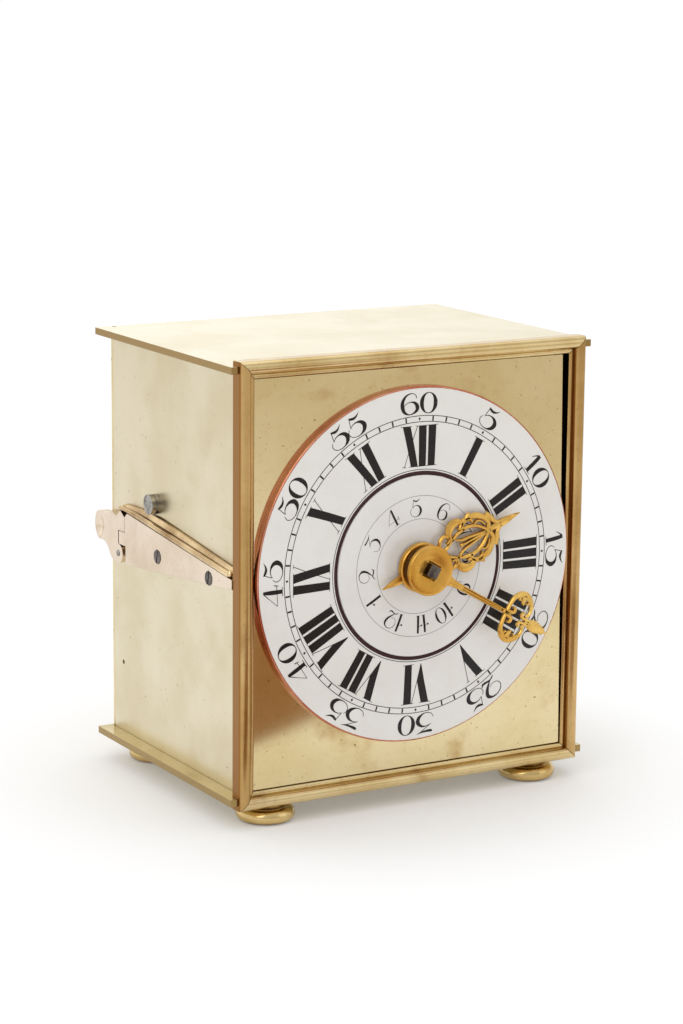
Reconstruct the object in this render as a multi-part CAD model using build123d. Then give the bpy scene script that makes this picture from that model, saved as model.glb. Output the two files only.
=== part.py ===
from build123d import *
import math
import os

# A brass travelling alarm clock: a box case with an enamel dial, a central alarm disc,
# a spring-driven movement with an alarm train, and a sprung thumb lever on the left side.
# Millimetres. +Z is up and the dial faces -Y. Case pieces are drawn in case coordinates,
# movement pieces in face coordinates: u to the right, v up, w towards the viewer, from the
# dial centre. write() moves both so that the origin lies under the middle of the outside box.

# ---- Case ----
BOX_SHIFT = 2.05
FRAME_WIDE = 100.0
FRAME_TALL = 112.0
FRAME_BOTTOM = 5.0
FRAME_TOP = FRAME_BOTTOM + FRAME_TALL
MOULDING = 4.4
MITRE_GAP = 0.08
FRONT = -38.0
FRAME_BACK = -35.0
REAR = 38.0
PLATE_HALF = 52.0
SHEET = 1.8
BASE_TOP = 8.2
ROOF_UNDER = 114.05
ROOF_TOP = ROOF_UNDER + SHEET
PANEL_OUT = 47.8
PANEL_IN = 46.3
DOOR_IN = 36.25
DOOR_AXIS = (-46.95, 37.1)
DOOR_EDGE = 0.85
KNOB_X = 41.0
KEY_HOLE = 4.0
FOOT_X = 39.0
FOOT_Y = (-31.7, 29.0)
FOOT_BOLT = 1.5
NUT_TALL = 1.1

# ---- Dial ----
DIAL_Z = 62.2
DIAL_RADIUS = 45.45
ENAMEL_RADIUS = 45.0
DIAL_HOLE = 23.65
DIAL_BACK = 37.25
DIAL_RIM = 39.1
DIAL_CROWN = 39.5
ENAMEL_THICK = 0.35
DISC_RADIUS = 23.15
DISC_BACK = 38.9
DISC_FRONT = 39.9
DIAL_PLATE_BACK = 35.4
DIAL_PLATE_FRONT = 37.2
DIAL_BORE = 4.2
DIAL_PEGS = (90, 210, 330)
PEG_CIRCLE = 36.0
PEG_RADIUS = 1.2
PLATE_GAP = 0.2
PLATE_GAP_WIDE = 1.7

# ---- Movement ----
PLATE_U = 41.0
PLATE_V = (-46.0, 45.0)
FRONT_PLATE = (22.0, 24.0)
BACK_PLATE = (-8.0, -6.0)
PILLARS = [(-36, -41), (36, -41), (-36, 41), (36, 41)]
DIAL_POSTS = [(-38.2, -32), (38.2, -32), (-38.2, 32), (38.2, 32)]
PIVOT = 0.6
RUN = 0.05


def polar(radius, degrees, start=(0.0, 0.0)):
    """A point at this distance and direction from the start point."""
    angle = math.radians(degrees)
    return (start[0] + radius * math.cos(angle), start[1] + radius * math.sin(angle))


# Arbor places in face coordinates. Each distance is half the sum of the two pitch diameters.
CENTRE = (0.0, 0.0)
BARREL_TEETH, CENTRE_LEAVES, GREAT_MODULE = 72, 12, 0.6
CENTRE_TEETH, THIRD_LEAVES, CENTRE_MODULE = 64, 8, 0.5
THIRD_TEETH, FOURTH_LEAVES, THIRD_MODULE = 60, 8, 0.45
FOURTH_TEETH, ESCAPE_LEAVES, FOURTH_MODULE = 60, 8, 0.4
CANNON_LEAVES, MINUTE_TEETH, MINUTE_MODULE = 12, 36, 0.5
MINUTE_LEAVES, HOUR_TEETH, HOUR_MODULE = 10, 40, 0.48
ALARM_TEETH, ALARM_LEAVES, ALARM_MODULE = 48, 8, 0.6
BARREL_AT = 225.0
THIRD_AT = 120.0
FOURTH_AT = 30.0
ESCAPE_AT = 15.0
MINUTE_AT = 200.0
SCAPE_AT = 80.0
BARREL = polar((BARREL_TEETH + CENTRE_LEAVES) * GREAT_MODULE / 2, BARREL_AT)
THIRD = polar((CENTRE_TEETH + THIRD_LEAVES) * CENTRE_MODULE / 2, THIRD_AT)
FOURTH = polar((THIRD_TEETH + FOURTH_LEAVES) * THIRD_MODULE / 2, FOURTH_AT, THIRD)
ESCAPE = polar((FOURTH_TEETH + ESCAPE_LEAVES) * FOURTH_MODULE / 2, ESCAPE_AT, FOURTH)
BALANCE = polar(7.3, 20.0, ESCAPE)
MINUTE = polar((CANNON_LEAVES + MINUTE_TEETH) * MINUTE_MODULE / 2, MINUTE_AT)
ALARM = (25.0, -22.0)
SCAPE = polar((ALARM_TEETH + ALARM_LEAVES) * ALARM_MODULE / 2, SCAPE_AT, ALARM)
HAMMER = (30.6, 4.7)
BELL = (0.0, 14.0)
BELL_RADIUS = 25.0
DETENT = (16.0, -8.0)
DETENT_LEVELS = (31.8, 33.0)
CLICK_LEVELS = (-9.9, -8.5)
RATCHET_LEVELS = (-10.0, -8.4)
KEY_SQUARE = 3.0
SQUARE_END = -33.0

# ---- Hands ----
HOUR_ANGLE = 90.0 - 68.5
MINUTE_ANGLE = 90.0 - 120.0
HOUR_LEVEL = 41.2
MINUTE_LEVEL = 45.1
HAND_THICK = 0.8
COLLET_RADIUS = 6.4
HANDS_END = 47.5

# ---- Side lever ----
SIDE_OUT = 50.3
LEVER_PIVOT = (28.7, 57.3)
TANG_RADIUS = 2.6
STUD_AT = (10.7, 73.5)
SIDE_SCREWS = [(5.6, 60.8), (-22.8, 61.0)]
SIDE_SCREW_HEAD = 1.85
SIDE_SCREW_SHANK = 1.0
SIDE_PIN = 0.9
VENT_AT = (31.0, 27.0)
VENT_RADIUS = 0.6

FACE = Plane(origin=(0, 0, DIAL_Z), x_dir=(1, 0, 0), z_dir=(0, -1, 0))
LEFT_SIDE = Plane(origin=(-PANEL_OUT, 0, 0), x_dir=(0, -1, 0), z_dir=(-1, 0, 0))


def write(name, shape):
    """Write one node, in the part's own frame."""
    shape = Pos(0, BOX_SHIFT, 0) * shape
    shape.label = name
    export_step(shape, f"parts/{name}.step")


def face(shape):
    """Carry a shape from face coordinates into case coordinates."""
    return FACE.location * shape


def slab(x, y, z):
    """A block between two limits on each axis."""
    size = [b - a for a, b in (x, y, z)]
    middle = [(a + b) / 2 for a, b in (x, y, z)]
    return Pos(*middle) * Box(*size)


def rod(radius, levels, at=CENTRE):
    """A cylinder along w (or Z) between two levels."""
    low, high = levels
    return Pos(at[0], at[1], (low + high) / 2) * Cylinder(radius, high - low)


def prism(outline, levels, at=CENTRE, turn=0.0):
    """A flat shape given a thickness between two levels."""
    low, high = levels
    return Pos(at[0], at[1], low) * Rot(0, 0, turn) * extrude(outline, high - low)


def bar(start, end, width, levels):
    """A round-ended strip between two points."""
    length = math.dist(start, end)
    turn = math.degrees(math.atan2(end[1] - start[1], end[0] - start[0]))
    strip = Pos(length / 2, 0) * SlotCenterToCenter(length, width)
    return prism(strip, levels, start, turn)


def turned(points, at=CENTRE):
    """A solid turned about w (or Z) from a closed outline of (radius, level) points."""
    outline = make_face(Plane.XZ * Polyline(*points, close=True))
    return Pos(at[0], at[1], 0) * revolve(outline, Axis.Z)


# ---------------------------------------------------------------- gears
WHEEL_TOOTH = {"thick": 1.40, "tip": 1.25, "root": 1.75}
LEAF_TOOTH = {"thick": 1.00, "tip": 0.50, "root": 1.75}


def gear_face(teeth, module, form):
    """A clock gear: radial flanks below the pitch circle and pointed or round tips above it."""
    pitch = teeth * module / 2
    half = form["thick"] * module / 2 / pitch
    root = pitch - form["root"] * module
    tip_arc = form["tip"] * module
    flank = (pitch * math.cos(half), pitch * math.sin(half))
    centre = (flank[0] + tip_arc * math.sin(half), flank[1] - tip_arc * math.cos(half))
    tip = centre[0] + math.sqrt(tip_arc**2 - centre[1] ** 2)
    start = math.atan2(flank[1] - centre[1], flank[0] - centre[0])
    middle = (start + math.atan2(-centre[1], tip - centre[0])) / 2
    bulge = (centre[0] + tip_arc * math.cos(middle), centre[1] + tip_arc * math.sin(middle))
    edges = []
    for tooth in range(teeth):
        turn = 2 * math.pi * tooth / teeth

        def spin(x, y, turn=turn):
            return (
                x * math.cos(turn) - y * math.sin(turn),
                x * math.sin(turn) + y * math.cos(turn),
            )

        root_x, root_y = root * math.cos(half), root * math.sin(half)
        next_turn = turn + 2 * math.pi / teeth
        next_root = (root * math.cos(next_turn - half), root * math.sin(next_turn - half))
        edges += [
            Line(spin(root_x, -root_y), spin(flank[0], -flank[1])),
            ThreePointArc(spin(flank[0], -flank[1]), spin(bulge[0], -bulge[1]), spin(tip, 0)),
            ThreePointArc(spin(tip, 0), spin(*bulge), spin(*flank)),
            Line(spin(*flank), spin(root_x, root_y)),
            Line(spin(root_x, root_y), next_root),
        ]
    return make_face(Wire(edges))


def crossings(hub, rim, spokes, arm):
    """The openings between a wheel's spokes."""
    ring = Circle(rim) - Circle(hub)
    for spoke in range(spokes):
        ring -= Rot(0, 0, 360 * spoke / spokes) * Pos(rim / 2, 0) * Rectangle(rim + 2, arm)
    return ring


def crossed_wheel(teeth, module, levels, hub, bore, spokes=4, arm=1.6, rim=1.6):
    """A toothed wheel with spokes and a round bore."""
    inside = teeth * module / 2 - WHEEL_TOOTH["root"] * module - rim
    outline = gear_face(teeth, module, WHEEL_TOOTH)
    outline -= crossings(hub, inside, spokes, arm)
    if bore:
        outline -= Circle(bore)
    return prism(outline, levels)


def phase(place, teeth, turn, other, other_teeth):
    """The turn that puts the other gear's teeth in mesh with this one's."""
    direction = math.degrees(math.atan2(other[1] - place[1], other[0] - place[0]))
    past = ((direction - turn) * teeth / 360) % 1
    return direction + 180 - (0.5 - past) * 360 / other_teeth


def ratchet_face(radius, root, teeth):
    """A ratchet wheel's outline, with one steep side to each tooth."""
    points = []
    for tooth in range(teeth):
        points.append(polar(radius, 360 * tooth / teeth))
        points.append(polar(root, 360 * (tooth + 0.12) / teeth))
    return make_face(Polyline(*points, close=True))


def escape_face(radius, root, teeth):
    """An escape wheel's outline, with slim leaning teeth."""
    points = []
    for tooth in range(teeth):
        points.append(polar(radius, 360 * tooth / teeth))
        points.append(polar(root, 360 * (tooth + 0.22) / teeth))
        points.append(polar(root, 360 * (tooth + 0.62) / teeth))
    return make_face(Polyline(*points, close=True))


def spiral_face(inner, outer, turns, thick):
    """A flat spiral strip."""
    steps = int(turns * 12)

    def edge(offset):
        return Spline(
            *[
                polar(inner + offset + (outer - inner - thick) * i / steps, 360 * turns * i / steps)
                for i in range(steps + 1)
            ]
        )

    inside, outside = edge(0), edge(thick)
    return make_face(
        Wire([inside, Line(inside @ 1, outside @ 1), outside, Line(outside @ 0, inside @ 0)])
    )


def between_plates(at, radius, pivot=PIVOT):
    """An arbor with a pivot running in each movement plate."""
    body = rod(radius, (BACK_PLATE[1] + 0.1, FRONT_PLATE[0] - 0.1))
    return body + rod(pivot, (BACK_PLATE[0] + 0.1, FRONT_PLATE[1] - 0.1))


# ---------------------------------------------------------------- case
def moulding(length):
    """One frame member: a half-round with a low inner lip, mitred at both ends."""
    deep = FRAME_BACK - FRONT
    crown, step = 1.55, 3.15
    lip = deep - 0.4
    section = make_face(
        Wire(
            [
                Line((0, 0), (0, deep)),
                ThreePointArc((0, deep), (crown, deep + crown), (step, deep - 0.1)),
                Line((step, deep - 0.1), (step, lip)),
                ThreePointArc((step, lip), ((step + MOULDING) / 2, lip + 0.25), (MOULDING, lip - 0.1)),
                Line((MOULDING, lip - 0.1), (MOULDING, 0)),
                Line((MOULDING, 0), (0, 0)),
            ]
        )
    )
    member = extrude(Plane.YZ * section, length)
    start = Plane(origin=(MITRE_GAP, 0, 0), z_dir=(1, -1, 0))
    end = Plane(origin=(length - MITRE_GAP, 0, 0), z_dir=(-1, -1, 0))
    member = split(member, bisect_by=start, keep=Keep.TOP)
    return split(member, bisect_by=end, keep=Keep.TOP)


def front_frame():
    """Four mitred mouldings round the dial opening."""
    half = FRAME_WIDE / 2
    forward = (0, -1, 0)
    members = {
        "bottom": ((-half, FRAME_BACK, FRAME_BOTTOM), (1, 0, 0), FRAME_WIDE),
        "right": ((half, FRAME_BACK, FRAME_BOTTOM), (0, 0, 1), FRAME_TALL),
        "top": ((half, FRAME_BACK, FRAME_TOP), (-1, 0, 0), FRAME_WIDE),
        "left": ((-half, FRAME_BACK, FRAME_TOP), (0, 0, -1), FRAME_TALL),
    }
    for name, (corner, along, length) in members.items():
        place = Plane(origin=corner, x_dir=along, z_dir=forward)
        write(f"front_frame_{name}", place.location * moulding(length))


def outer_plate(z):
    """The base or the roof: a sheet notched round the front frame, with door pivot hole."""
    half = FRAME_WIDE / 2 + 0.05
    sheet = slab((-PLATE_HALF, PLATE_HALF), (FRONT + 0.15, REAR), z)
    sheet -= slab((-half, half), (FRONT - 1, FRAME_BACK), (z[0] - 1, z[1] + 1))
    return sheet - rod(PIVOT, (z[0] - 1, z[1] + 1), DOOR_AXIS)


def case_box():
    base = outer_plate((BASE_TOP - SHEET, BASE_TOP))
    for x in (-FOOT_X, FOOT_X):
        for y in FOOT_Y:
            base -= rod(FOOT_BOLT + RUN, (0, 20), (x, y))
    write("base_plate", base)
    write("top_plate", outer_plate((ROOF_UNDER, ROOF_TOP)))
    wall = (FRAME_BACK, DOOR_IN - 0.05)
    height = (BASE_TOP, ROOF_UNDER)
    left = slab((-PANEL_OUT, -PANEL_IN), wall, height)
    for y, z in SIDE_SCREWS:
        left -= Pos(0, y, z) * Rot(0, 90, 0) * Cylinder(SIDE_SCREW_SHANK, 200)
    for y, z in (LEVER_PIVOT, STUD_AT):
        left -= Pos(0, y, z) * Rot(0, 90, 0) * Cylinder(SIDE_PIN, 200)
    left -= Pos(0, *VENT_AT) * Rot(0, 90, 0) * Cylinder(VENT_RADIUS, 200)
    write("left_side_panel", left)
    write("right_side_panel", slab((PANEL_IN, PANEL_OUT), wall, height))


def dial_plate():
    """A sheet inside the frame opening. Its right edge is cut askew, so the gap there widens upward."""
    side = FRAME_WIDE / 2 - MOULDING
    foot = FRAME_BOTTOM + MOULDING + PLATE_GAP - DIAL_Z
    head = FRAME_TOP - MOULDING - PLATE_GAP - DIAL_Z
    corners = [
        (-side + PLATE_GAP, foot),
        (side - PLATE_GAP, foot),
        (side - PLATE_GAP_WIDE, head),
        (-side + PLATE_GAP, head),
    ]
    levels = (DIAL_PLATE_BACK, DIAL_PLATE_FRONT)
    hole_levels = (DIAL_PLATE_BACK - 1, DIAL_PLATE_FRONT + 1)
    plate = prism(make_face(Polyline(*corners, close=True)), levels)
    plate -= rod(DIAL_BORE, hole_levels)
    for angle in DIAL_PEGS:
        plate -= rod(PEG_RADIUS + 0.1, hole_levels, polar(PEG_CIRCLE, angle))
    write("dial_plate", face(plate))


def feet():
    """Turned bun feet: a flat sole, a round bulge, a neck, a ring and a bolt."""
    sole, bulge, seat = 5.6, 7.5, BASE_TOP - SHEET
    bolt_end = BASE_TOP + NUT_TALL + 0.4
    outline = make_face(
        Plane.XZ
        * Wire(
            [
                Line((0, 0), (sole, 0)),
                ThreePointArc((sole, 0), (bulge, 1.9), (sole, 3.7)),
                Line((sole, 3.7), (4.5, 3.9)),
                ThreePointArc((4.5, 3.9), (4.95, 4.35), (4.5, 4.85)),
                Line((4.5, 4.85), (3.1, 4.85)),
                Line((3.1, 4.85), (3.1, seat)),
                Line((3.1, seat), (FOOT_BOLT, seat)),
                Line((FOOT_BOLT, seat), (FOOT_BOLT, bolt_end)),
                Line((FOOT_BOLT, bolt_end), (0, bolt_end)),
                Line((0, bolt_end), (0, 0)),
            ]
        )
    )
    foot = revolve(outline, Axis.Z)
    nut = prism(RegularPolygon(3.2, 6) - Circle(FOOT_BOLT), (BASE_TOP, BASE_TOP + NUT_TALL))
    places = [Pos(x, y, 0) for x in (-FOOT_X, FOOT_X) for y in FOOT_Y]
    write("feet", Compound([place * foot for place in places]))
    write("foot_nuts", Compound([place * nut for place in places]))


def rear_door():
    """A hinged back: rounded pivot edge, two pivots, two key holes and a turned knob."""
    x, y = DOOR_AXIS
    height = (BASE_TOP + 0.1, ROOF_UNDER - 0.1)
    door = slab((x, PANEL_OUT), (y - DOOR_EDGE, y + DOOR_EDGE), height)
    door += rod(DOOR_EDGE, height, DOOR_AXIS)
    door += rod(PIVOT - RUN, (BASE_TOP - SHEET + 0.1, ROOF_TOP - 0.1), DOOR_AXIS)
    for at in (BARREL, ALARM):
        door -= face(rod(KEY_HOLE, (-60, -30), at))
    knob_at = Pos(KNOB_X, y, DIAL_Z) * Rot(90, 0, 0)
    door -= knob_at * Cylinder(1.0, 10)
    write("rear_door", door)
    knob = turned(
        [
            (0, -2.4), (2.4, -2.4), (2.4, -1.0), (1.0, -1.0), (1.0, DOOR_EDGE),
            (1.6, DOOR_EDGE), (1.6, 2.0), (3.2, 3.2), (3.6, 4.4), (3.0, 5.4), (1.4, 5.9), (0, 5.9),
        ]
    )
    write("door_knob", Pos(KNOB_X, y, DIAL_Z) * Rot(-90, 0, 0) * knob)


# ---------------------------------------------------------------- dial and hands
def dial():
    """A domed copper dial with a white enamel layer, and three pegs through the dial plate."""
    span = (DIAL_HOLE + ENAMEL_RADIUS) / 2
    crown = DIAL_CROWN - 0.12
    under = ENAMEL_THICK
    enamel = Wire(
        [
            ThreePointArc((DIAL_HOLE, DIAL_CROWN), (span, crown + 0.02), (ENAMEL_RADIUS, DIAL_RIM)),
            Line((ENAMEL_RADIUS, DIAL_RIM), (ENAMEL_RADIUS, DIAL_RIM - under)),
            ThreePointArc(
                (ENAMEL_RADIUS, DIAL_RIM - under),
                (span, crown + 0.02 - under),
                (DIAL_HOLE, DIAL_CROWN - under),
            ),
            Line((DIAL_HOLE, DIAL_CROWN - under), (DIAL_HOLE, DIAL_CROWN)),
        ]
    )
    write("dial_enamel", face(revolve(make_face(Plane.XZ * enamel), Axis.Z)))
    copper = Wire(
        [
            ThreePointArc(
                (DIAL_HOLE, DIAL_CROWN - under),
                (span, crown + 0.02 - under),
                (ENAMEL_RADIUS, DIAL_RIM - under),
            ),
            Line((ENAMEL_RADIUS, DIAL_RIM - under), (ENAMEL_RADIUS, DIAL_RIM - 0.05)),
            ThreePointArc(
                (ENAMEL_RADIUS, DIAL_RIM - 0.05),
                (DIAL_RADIUS - 0.1, DIAL_RIM - 0.15),
                (DIAL_RADIUS, DIAL_RIM - 0.4),
            ),
            Line((DIAL_RADIUS, DIAL_RIM - 0.4), (DIAL_RADIUS, DIAL_BACK)),
            Line((DIAL_RADIUS, DIAL_BACK), (DIAL_HOLE, DIAL_BACK)),
            Line((DIAL_HOLE, DIAL_BACK), (DIAL_HOLE, DIAL_CROWN - under)),
        ]
    )
    base = revolve(make_face(Plane.XZ * copper), Axis.Z)
    for angle in DIAL_PEGS:
        base += rod(PEG_RADIUS, (DIAL_PLATE_BACK - 1.6, DIAL_BACK + 0.5), polar(PEG_CIRCLE, angle))
    write("dial_base", face(base))


def alarm_disc():
    """The turning alarm hour disc, and its pipe with the let-off cam behind the dial plate."""
    disc = turned(
        [
            (4.05, DISC_BACK), (DISC_RADIUS, DISC_BACK), (DISC_RADIUS, DISC_FRONT - 0.15),
            (DISC_RADIUS - 0.15, DISC_FRONT), (4.05, DISC_FRONT),
        ]
    )
    write("alarm_disc", face(disc))
    pipe = rod(4.05, (31.8, DISC_FRONT)) + rod(6.5, DETENT_LEVELS)
    pipe -= rod(3.05, (30, 41))
    pipe -= Pos(*polar(6.6, 140), 32.4) * Box(2.2, 1.6, 3)
    write("alarm_pipe", face(pipe))


def pierced(length, spread, openings):
    """A flat oval ornament with rows of openings, along +u from the origin."""
    plate = Ellipse(length / 2, spread / 2)
    for u, v, long, wide in openings:
        plate -= Pos(u, v) * Ellipse(long, wide)
    return plate


def minute_hand():
    """Round hub with a square hole, slim stem, two pierced lobes and a leaf tip."""
    shape = Pos(15, 0) * Rectangle(25, 1.5)
    shape += Pos(30.6, 0) * pierced(8.4, 9.6, [(-0.4, 2.3, 1.9, 1.3), (-0.4, -2.3, 1.9, 1.3)])
    tip = [(33.5, -0.9), (37.2, -1.5), (40.6, 0), (37.2, 1.5), (33.5, 0.9)]
    shape += make_face(Polyline(*tip, close=True))
    hand = prism(shape, (MINUTE_LEVEL, MINUTE_LEVEL + HAND_THICK), turn=MINUTE_ANGLE)
    hub = turned(
        [
            (0.5, 44.9), (COLLET_RADIUS, 44.9), (COLLET_RADIUS, 45.9),
            (COLLET_RADIUS - 0.3, 46.2), (0.5, 46.2),
        ]
    )
    hand += hub + rod(1.0, (44.9, 46.2))
    hand -= Pos(0, 0, 45.5) * Rot(0, 0, MINUTE_ANGLE) * Box(KEY_SQUARE, KEY_SQUARE, 4)
    write("minute_hand", face(hand))


def hour_hand():
    """Round hub, grooved spacer, a large pierced oval, a leaf tip and a tail for the alarm hour."""
    openings = []
    for side in (-1, 1):
        openings.append((2.6, 2.6 * side, 3.0, 1.5))
        openings.append((-3.4, 2.3 * side, 2.3, 1.4))
    shape = Pos(16, 0) * pierced(17, 13, openings)
    shape += Pos(6, 0) * Rectangle(8, 2.2)
    tip = [(23.5, -1.0), (27.2, -1.3), (30.7, 0), (27.2, 1.3), (23.5, 1.0)]
    tail = [(-5, -1.3), (-5, 1.3), (-12.2, 0)]
    for outline in (tip, tail):
        shape += make_face(Polyline(*outline, close=True))
    hand = prism(shape, (HOUR_LEVEL, HOUR_LEVEL + HAND_THICK), turn=HOUR_ANGLE)
    hub = turned(
        [
            (1.2, 40.5), (COLLET_RADIUS, 40.5), (COLLET_RADIUS, 42.4),
            (5.6, 42.6), (5.6, 43.3), (5.0, 43.6), (5.6, 43.9), (5.6, 44.5), (1.2, 44.5),
        ]
    )
    hand += hub
    hand -= rod(3.0, (40, 42.5)) + rod(1.95, (40, 45))
    write("hour_hand", face(hand))


# ---------------------------------------------------------------- movement
def movement_plates():
    """Front and back plates on four pillars, hung from the dial plate on four posts."""
    size = (2 * PLATE_U, PLATE_V[1] - PLATE_V[0])
    middle = (0, (PLATE_V[0] + PLATE_V[1]) / 2)
    outline = Pos(*middle) * RectangleRounded(*size, 4)
    front = prism(outline, FRONT_PLATE)
    back = prism(outline, BACK_PLATE)
    through_front = (FRONT_PLATE[0] - 1, FRONT_PLATE[1] + 1)
    through_back = (BACK_PLATE[0] - 1, BACK_PLATE[1] + 1)
    for at in (THIRD, FOURTH, ESCAPE, SCAPE):
        front -= rod(PIVOT + RUN, through_front, at)
        back -= rod(PIVOT + RUN, through_back, at)
    front -= rod(1.25 + RUN, through_front) + rod(1.0 + RUN, through_front, HAMMER)
    back -= rod(0.9 + RUN, through_back) + rod(1.0 + RUN, through_back, HAMMER)
    for at in (BARREL, ALARM):
        front -= rod(1.2 + RUN, through_front, at)
        back -= rod(1.6 + RUN, through_back, at)
    back -= rod(3.0, through_back, BALANCE)
    for at in PILLARS:
        front -= rod(1.2, through_front, at)
        back -= rod(1.2, through_back, at)
    front += rod(1.0, (FRONT_PLATE[1], 31.2), MINUTE)
    front += rod(1.2, (FRONT_PLATE[1], 33.3), DETENT)
    for at in (BARREL, ALARM):
        back += rod(1.0, (-10.4, BACK_PLATE[0]), polar(13.0, 90, at))
    write("movement_front_plate", face(front))
    write("movement_back_plate", face(back))
    pillars = []
    screws = []
    for at in PILLARS:
        pillar = rod(2.6, (BACK_PLATE[1], FRONT_PLATE[0]), at)
        pillar += rod(3.2, (6.5, 9.5), at)
        pillars.append(pillar - rod(1.2, (-7, 23), at))
        for head, end, slot in ((-9.4, -2.0, -9.4), (25.4, 18.0, 25.4)):
            inner, outer = sorted((head, end))
            screw = rod(1.2, (inner, outer), at)
            seat = BACK_PLATE[0] if head < 0 else FRONT_PLATE[1]
            screw += rod(2.4, sorted((head, seat)), at)
            screws.append(screw - Pos(at[0], at[1], slot) * Box(6, 0.6, 1.0))
    write("pillars", face(Compound(pillars)))
    write("pillar_screws", face(Compound(screws)))
    posts = [rod(2.5, (FRONT_PLATE[1], DIAL_PLATE_BACK), at) for at in DIAL_POSTS]
    write("movement_posts", face(Compound(posts)))


def barrel(name, at, teeth, turn, drum, depth):
    """A spring barrel: toothed drum with a floor, a cover, and a coiled spring inside."""
    floor, mouth = 17.5, depth
    body = prism(gear_face(teeth, GREAT_MODULE, WHEEL_TOOTH), (floor, floor + 2.0), turn=turn)
    body += rod(drum, (mouth, floor))
    body -= rod(drum - 1.0, (mouth - 1, floor - 1.0)) + rod(1.5 + RUN, (0, 22))
    write(name, face(Pos(*at) * body))
    cover = rod(drum, (mouth - 1.0, mouth)) - rod(1.5 + RUN, (mouth - 2, mouth + 1))
    write(f"{name}_cover", face(Pos(*at) * cover))
    spring = prism(spiral_face(4.2, drum - 2.0, 5, 0.5), (mouth + 1.0, floor - 2.0))
    write(f"{name}_spring", face(Pos(*at) * spring))


def barrel_arbor(at, mouth):
    """A winding arbor: hub inside the barrel, pivots, and a square for the key at the back."""
    arbor = rod(1.5, (mouth - 1.2, 20.4)) + rod(3.2, (mouth + 0.2, 16.3))
    arbor += rod(1.2, (20.4, FRONT_PLATE[1] - 0.1)) + rod(1.6, (SQUARE_END + 9, mouth - 1.2))
    square = prism(Rectangle(KEY_SQUARE, KEY_SQUARE) & Circle(2.0), (SQUARE_END, SQUARE_END + 9))
    return Pos(*at) * (arbor + square)


def click(at):
    """A click lever on its stud, its nose held just clear of the ratchet teeth."""
    pivot = polar(13.0, 90, at)
    nose = polar(10.1, 55, at)
    lever = rod(2.2, CLICK_LEVELS, pivot) + bar(pivot, nose, 1.6, CLICK_LEVELS)
    lever += bar(pivot, polar(5.0, 150, pivot), 1.4, CLICK_LEVELS)
    return lever - rod(1.0 + RUN, (-12, -6), pivot)


def click_spring(at):
    """A leaf spring beside the click's tail."""
    foot = polar(19.0, 118, at)
    tip = polar(17.4, 98, at)
    return rod(1.4, (-10.0, BACK_PLATE[0]), foot) + bar(foot, tip, 0.5, CLICK_LEVELS)


def winding():
    barrel_turn = phase(CENTRE, CENTRE_LEAVES, 0, BARREL, BARREL_TEETH)
    barrel("going_barrel", BARREL, BARREL_TEETH, barrel_turn, 18.5, 4.0)
    barrel("alarm_barrel", ALARM, ALARM_TEETH, 0, 12.0, 6.0)
    write("barrel_arbor", face(barrel_arbor(BARREL, 4.0)))
    ratchet = prism(ratchet_face(9.0, 7.8, 24) - Circle(1.6), RATCHET_LEVELS)
    write("ratchet_wheel", face(Pos(*BARREL) * ratchet))
    alarm_ratchet = prism(ratchet_face(9.0, 7.8, 24), RATCHET_LEVELS)
    write("alarm_arbor", face(barrel_arbor(ALARM, 6.0) + Pos(*ALARM) * alarm_ratchet))
    write("click", face(click(BARREL)))
    write("alarm_click", face(click(ALARM)))
    write("click_springs", face(Compound([click_spring(BARREL), click_spring(ALARM)])))


def centre_arbor():
    """The arbor that turns once an hour, with its pinion, a square end, and the cannon pinion."""
    arbor = prism(gear_face(CENTRE_LEAVES, GREAT_MODULE, LEAF_TOOTH), (16.8, 20.5))
    arbor += rod(1.5, (BACK_PLATE[1] + 0.1, FRONT_PLATE[0] - 0.1))
    arbor += rod(0.9, (BACK_PLATE[0] + 0.1, 0)) + rod(1.25, (20, 45.0))
    end = Rectangle(KEY_SQUARE - 0.04, KEY_SQUARE - 0.04)
    arbor += prism(end, (44.8, HANDS_END), turn=MINUTE_ANGLE)
    write("centre_arbor", face(arbor))
    wheel = crossed_wheel(CENTRE_TEETH, CENTRE_MODULE, (0, 1.5), 3.4, 1.5)
    write("centre_wheel", face(wheel))
    cannon = prism(gear_face(CANNON_LEAVES, MINUTE_MODULE, LEAF_TOOTH), (24.5, 26.5))
    cannon += rod(1.9, (24.5, 44.7))
    write("cannon_pinion", face(cannon - rod(1.25, (23, 46))))


def train_wheel(name, at, wheel, wheel_turn, pinion, pinion_turn, arbor=1.0):
    """A wheel and its pinion on one arbor."""
    piece = Rot(0, 0, wheel_turn) * wheel
    teeth, module, levels = pinion
    piece += prism(gear_face(teeth, module, LEAF_TOOTH), levels, turn=pinion_turn)
    piece += between_plates(at, arbor)
    write(name, face(Pos(*at) * piece))


def going_train():
    third_turn = phase(CENTRE, CENTRE_TEETH, 0, THIRD, THIRD_LEAVES)
    wheel = crossed_wheel(THIRD_TEETH, THIRD_MODULE, (6.8, 8.0), 2.6, 0)
    train_wheel("third_wheel", THIRD, wheel, 0, (THIRD_LEAVES, CENTRE_MODULE, (-0.5, 2.0)), third_turn)
    fourth_turn = phase(THIRD, THIRD_TEETH, 0, FOURTH, FOURTH_LEAVES)
    wheel = crossed_wheel(FOURTH_TEETH, FOURTH_MODULE, (12.9, 14.0), 2.4, 0)
    train_wheel(
        "fourth_wheel", FOURTH, wheel, 0, (FOURTH_LEAVES, THIRD_MODULE, (6.0, 9.5)), fourth_turn, 0.9
    )
    escape_turn = phase(FOURTH, FOURTH_TEETH, 0, ESCAPE, ESCAPE_LEAVES)
    wheel = prism(escape_face(6.5, 5.0, 15) - crossings(1.8, 4.2, 3, 1.0), (-3.5, -2.5))
    train_wheel(
        "escape_wheel", ESCAPE, wheel, 0, (ESCAPE_LEAVES, FOURTH_MODULE, (12.0, 15.0)), escape_turn, 0.8
    )


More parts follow.
